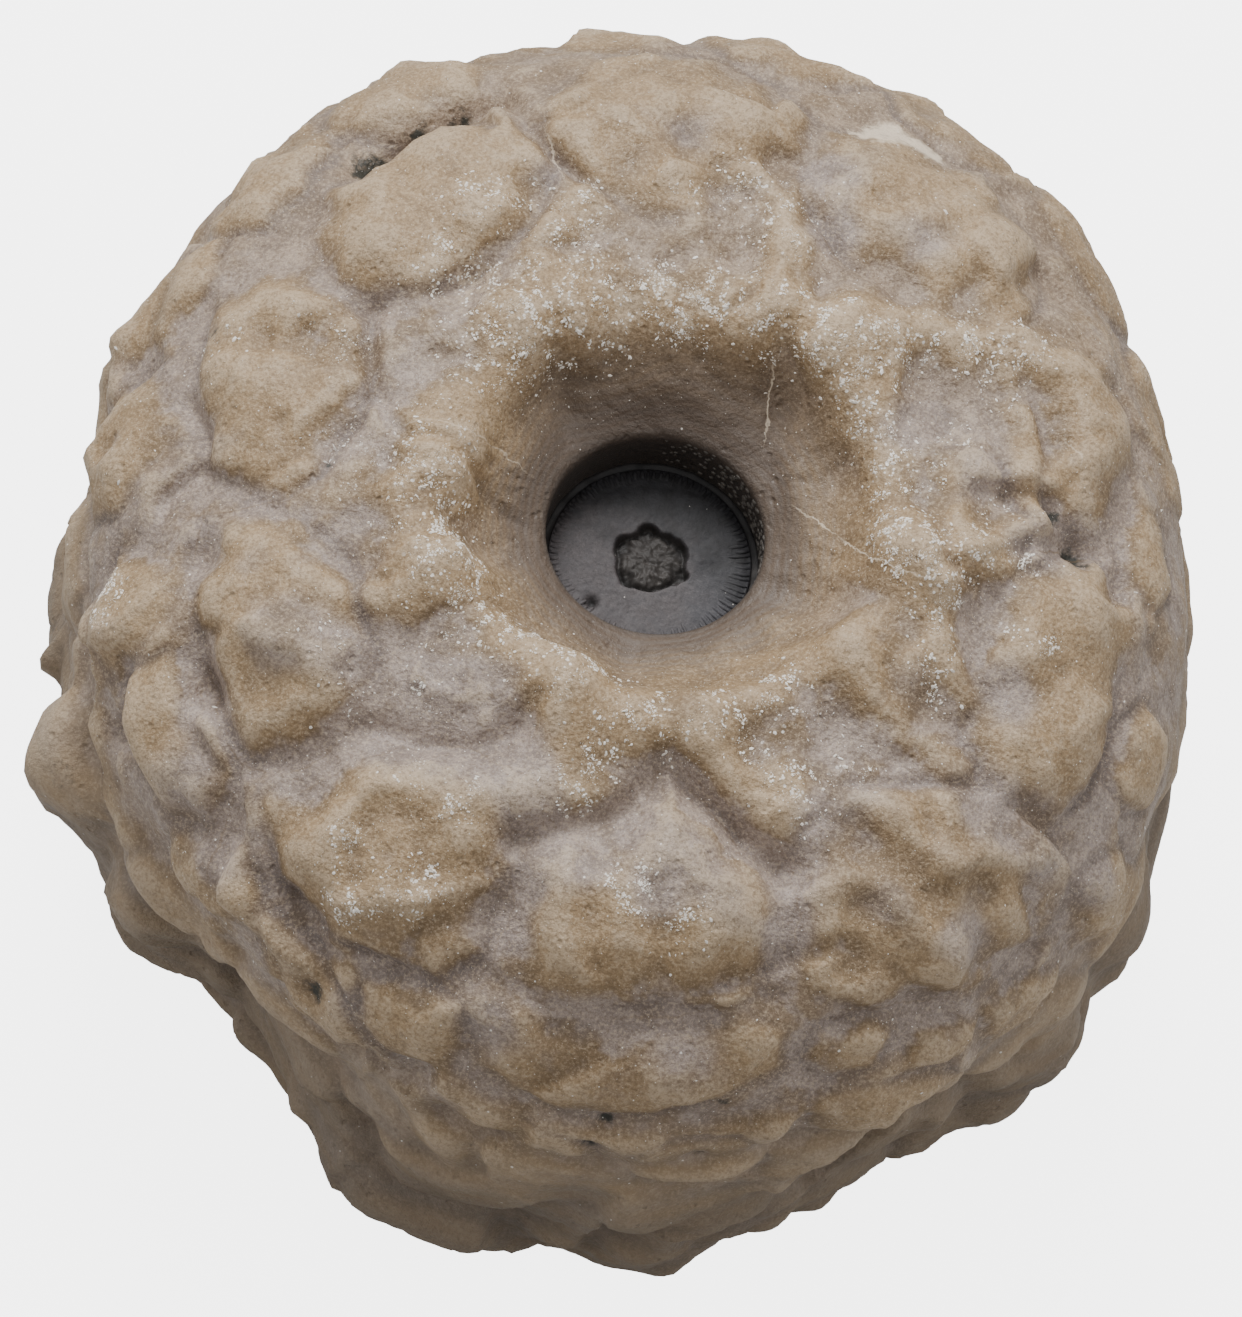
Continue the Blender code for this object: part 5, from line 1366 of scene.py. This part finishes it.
# %% Beads on the socket wall
BEAD_ROWS, ROW_STEP, LOWEST_ROW = 7, 0.29, 0.30  # count, mm apart, mm above the disc
BEAD_FIRST, BEAD_LAST, BEAD_STEP = -15.0, 95.0, 4.3  # azimuths, degrees
BEAD_MIDDLE, BEAD_SPREAD = 38, 62  # where the beads are plainest
BEAD_GREY = (0.100, 0.090, 0.080)
bead_points, bead_turns, bead_sizes = [], [], []
for row in range(BEAD_ROWS):
    height = FACE_HEIGHT + LOWEST_ROW + row * ROW_STEP
    for azimuth in np.arange(BEAD_FIRST, BEAD_LAST, BEAD_STEP):
        azimuth += random.uniform(-2.2, 2.2)
        presence = hump(turn_between(azimuth, BEAD_MIDDLE) / BEAD_SPREAD)
        if random.uniform() > 0.35 + 0.65 * presence:
            continue
        bead_points.append(around_axis(np.array(azimuth), SOCKET_RADIUS,
                                       height + random.uniform(-0.12, 0.12)))
        bead_turns.append((0.0, random.uniform(-0.2, 0.2), math.radians(azimuth)))
        grow = random.uniform(0.7, 1.25) * (0.6 + 0.4 * presence)
        bead_sizes.append((0.08 * grow, 0.15 * grow, 0.085 * grow))
bead_stone, tree, shader = new_material("bead_stone")
feed(shader, Base_Color=BEAD_GREY, Roughness=0.6)
beads = pebbles_at("socket_beads", bead_points, bead_turns, bead_sizes, 1, bead_stone)

# %% [markdown]
# ## White crumbs
# The white marks on the rim and the crests are crumbs of calcite that stand a little proud, so
# they are real shapes and not paint. They could be put down by hand with a brush of particles, but
# there are thousands. A second tree scatters points over the cup's own skin, dense where the
# crumbs attribute is high and very thin elsewhere on top, and sinks an uneven flake half into the
# stone at each. There are two sizes: coarse crumbs of fifteen faces, and grains of eight.


# %% Tree: where crumbs lie
def random_value(tree, kind, low, high, seed):
    node = add_node(tree, "FunctionNodeRandomValue", data_type=kind)
    sockets = [socket for socket in node.inputs if socket.enabled]
    plug(sockets[0], low)
    plug(sockets[1], high)
    feed(node, Seed=seed)
    return Value([socket for socket in node.outputs if socket.enabled][0])


scatter, given, result = shape_tree("crumbs_on_stone", {
    "Crumbs per square metre": "Float", "Stray crumbs per square metre": "Float",
    "Smallest": "Float", "Largest": "Float", "Clump size": "Float",
    "Sides": "Int", "Rings": "Int", "Seed": "Int", "Material": "Material"})
TOP_START, TOP_END = -5.5, 19.0  # stray crumbs lie between these distances out from the crest
out = carried(scatter, "out", "FLOAT")
clumps = span(noise(None, given["Clump size"], detail=4.0, roughness=0.65), 0.56, 0.64)
clustered = carried(scatter, "crumbs", "FLOAT") * clumps * given["Crumbs per square metre"]
on_top = math_node("LESS_THAN", out, TOP_END) * math_node("GREATER_THAN", out, TOP_START)
stray = on_top * given["Stray crumbs per square metre"]
scattered = add_node(scatter, "GeometryNodeDistributePointsOnFaces", distribute_method="RANDOM")
feed(scattered, Mesh=given["Geometry"], Density=clustered + stray, Seed=given["Seed"])

# %% Tree: size, shape and lean of each crumb
skew = math_node("POWER", random_value(scatter, "FLOAT", 0.0, 1.0, seed=3), 3.0)
crumb_size = given["Smallest"] + skew * (given["Largest"] - given["Smallest"])
uneven = add_node(scatter, "ShaderNodeVectorMath", operation="SCALE")
feed(uneven, Scale=crumb_size,
     Vector=random_value(scatter, "FLOAT_VECTOR", (0.5, 0.3, 0.2), (2.0, 1.1, 0.6), seed=5))
crumb_shape = add_node(scatter, "GeometryNodeMeshUVSphere")
feed(crumb_shape, Radius=1.0, Segments=given["Sides"], Rings=given["Rings"])
lean = add_node(scatter, "FunctionNodeRotateRotation", rotation_space="LOCAL")
feed(lean, Rotation=Value(scattered.outputs["Rotation"]),
     Rotate_By=random_value(scatter, "FLOAT_VECTOR", (-0.5, -0.5, 0), (0.5, 0.5, 6.28), seed=7))
set_down = add_node(scatter, "GeometryNodeInstanceOnPoints")
feed(set_down, Points=Value(scattered.outputs["Points"]), Scale=Value(uneven.outputs[0]),
     Instance=Value(crumb_shape.outputs["Mesh"]), Rotation=Value(lean.outputs["Rotation"]))
finish_tree(Value(set_down.outputs["Instances"]), given["Material"], result)

# %% Crumbs and grains
crumb_stone, tree, shader = new_material("crumb_calcite")
patch = patches_of(millimetres(tree), 0.3, low=0.4, high=0.6)
feed(shader, Base_Color=blend(patch * 0.3, WHITE, PALE), Roughness=0.55)


def crumbs_of(name, density, stray, smallest, largest, clump, sides, rings, seed):
    """Crumbs of these sizes in mm and densities per square mm, scattered on the cup."""
    piece = grown(name, cup, scatter, {
        "Crumbs per square metre": density / MM**2, "Stray crumbs per square metre": stray / MM**2,
        "Smallest": smallest * MM, "Largest": largest * MM, "Clump size": clump * MM,
        "Sides": sides, "Rings": rings, "Seed": seed, "Material": crumb_stone})
    piece.data.shade_flat()
    return piece


crumb_piece = crumbs_of("white_crumbs", density=360.0, stray=0.08, smallest=0.018, largest=0.095,
                        clump=0.5, sides=5, rings=3, seed=4)
grain_piece = crumbs_of("white_grains", density=260.0, stray=4.0, smallest=0.012, largest=0.040,
                        clump=1.1, sides=4, rings=2, seed=5)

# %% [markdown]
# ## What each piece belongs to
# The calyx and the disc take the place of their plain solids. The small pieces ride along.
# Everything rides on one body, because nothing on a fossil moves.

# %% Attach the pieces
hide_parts("calyx")
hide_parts("stem_columnal")
for piece, slot in ((cup, "calyx_stone"), (disc, "disc_stone"), (ribs, "disc_stone"),
                    (cement, "calyx_stone"), (beads, "calyx_stone"), (crumb_piece, "calyx_stone"),
                    (grain_piece, "calyx_stone")):
    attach(piece, "root")

# %% [markdown]
# ## Floor, light and camera
# A fossil is shown on a white ground in even light, so that its relief and its colours can be
# read. The floor is a plain sheet. Bright lamps could burn it to white, but they would bleach the
# stone too, so the sheet glows by itself and only for the camera. The strongest lamp is a soft
# disc behind and above, a little to the left, and three weak ones open the shadows. The camera
# stands far off with a long lens, 64 degrees above the side, so the near wall doesn't look
# swollen.

# %% Floor
FLOOR_HALF, FLOOR_GLOW = 0.6, 4.5
corners = [(x * FLOOR_HALF, y * FLOOR_HALF, 0) for x, y in ((-1, -1), (1, -1), (1, 1), (-1, 1))]
floor_mesh = bpy.data.meshes.new("floor")
floor_mesh.from_pydata(corners, [], [(0, 1, 2, 3)])
floor = add_object("floor", floor_mesh)
floor_paint, tree, shader = new_material("floor_paint")
seen = Value(add_node(tree, "ShaderNodeLightPath").outputs["Is Camera Ray"])
feed(shader, Base_Color=(0.55, 0.55, 0.55), Roughness=0.9, Emission_Color=(1.0, 1.0, 1.0),
     Emission_Strength=seen * FLOOR_GLOW)
floor_mesh.materials.append(floor_paint)
print("floor:", 2 * FLOOR_HALF, "m wide")

# %% Lights
# name, where it comes from, distance and size in metres, power in watts
LIGHTS = [
    ("window", (-0.30, 1.0, 1.1), 0.5, 0.30, 2.9),
    ("room", (0.0, -0.2, 1.3), 0.6, 0.7, 1.1),
    ("left wall", (-1.0, -0.25, 0.45), 0.6, 0.5, 0.95),
    ("right wall", (1.0, -0.1, 0.45), 0.6, 0.5, 1.0),
]
ROOM_GLOW = 0.145
for name, where, distance, size, power in LIGHTS:
    lamp = bpy.data.lights.new(name, "AREA")
    lamp.shape, lamp.size, lamp.energy = "DISK", size, power
    holder = add_object(name, lamp)
    holder.location = Vector(where).normalized() * distance
    holder.rotation_euler = (-holder.location).to_track_quat("-Z", "Y").to_euler()
world = bpy.data.worlds.new("pale_room")
bpy.context.scene.world = world
world.use_nodes = True
background = world.node_tree.nodes["Background"]
feed(background, Color=(1.0, 1.0, 1.0), Strength=ROOM_GLOW)
print(len(LIGHTS), "lamps and a pale room")

# %% Camera
ELEVATION, ROLL, DISTANCE = 64.0, 12.0, 0.400  # degrees, degrees, metres
# pixels of the full frame per mm of the cup, its height in pixels, and the sensor's in mm
PIXELS_PER_MM, IMAGE_HEIGHT, SENSOR = 24.2, 1317, 36.0
AIM = Vector((-0.31, 5.01, 2.45)) * MM
lift, tip = math.radians(ELEVATION), math.radians(ROLL)
back = Vector((0, -math.cos(lift), math.sin(lift)))
level_up = Vector((0, math.sin(lift), math.cos(lift)))
right = Vector((math.cos(tip), 0, 0)) + level_up * math.sin(tip)
up = Vector((-math.sin(tip), 0, 0)) + level_up * math.cos(tip)
camera_data = bpy.data.cameras.new("camera")
camera_data.sensor_fit, camera_data.sensor_height = "VERTICAL", SENSOR
camera_data.lens = SENSOR * DISTANCE / MM * PIXELS_PER_MM / IMAGE_HEIGHT
camera_data.clip_start, camera_data.clip_end = 0.02, 5.0
camera = add_object("camera", camera_data)
axes = Matrix((right, up, back)).transposed().to_4x4()
camera.matrix_world = Matrix.Translation(AIM + back * DISTANCE) @ axes
bpy.context.scene.camera = camera
print("camera lens:", round(camera_data.lens, 1), "mm")
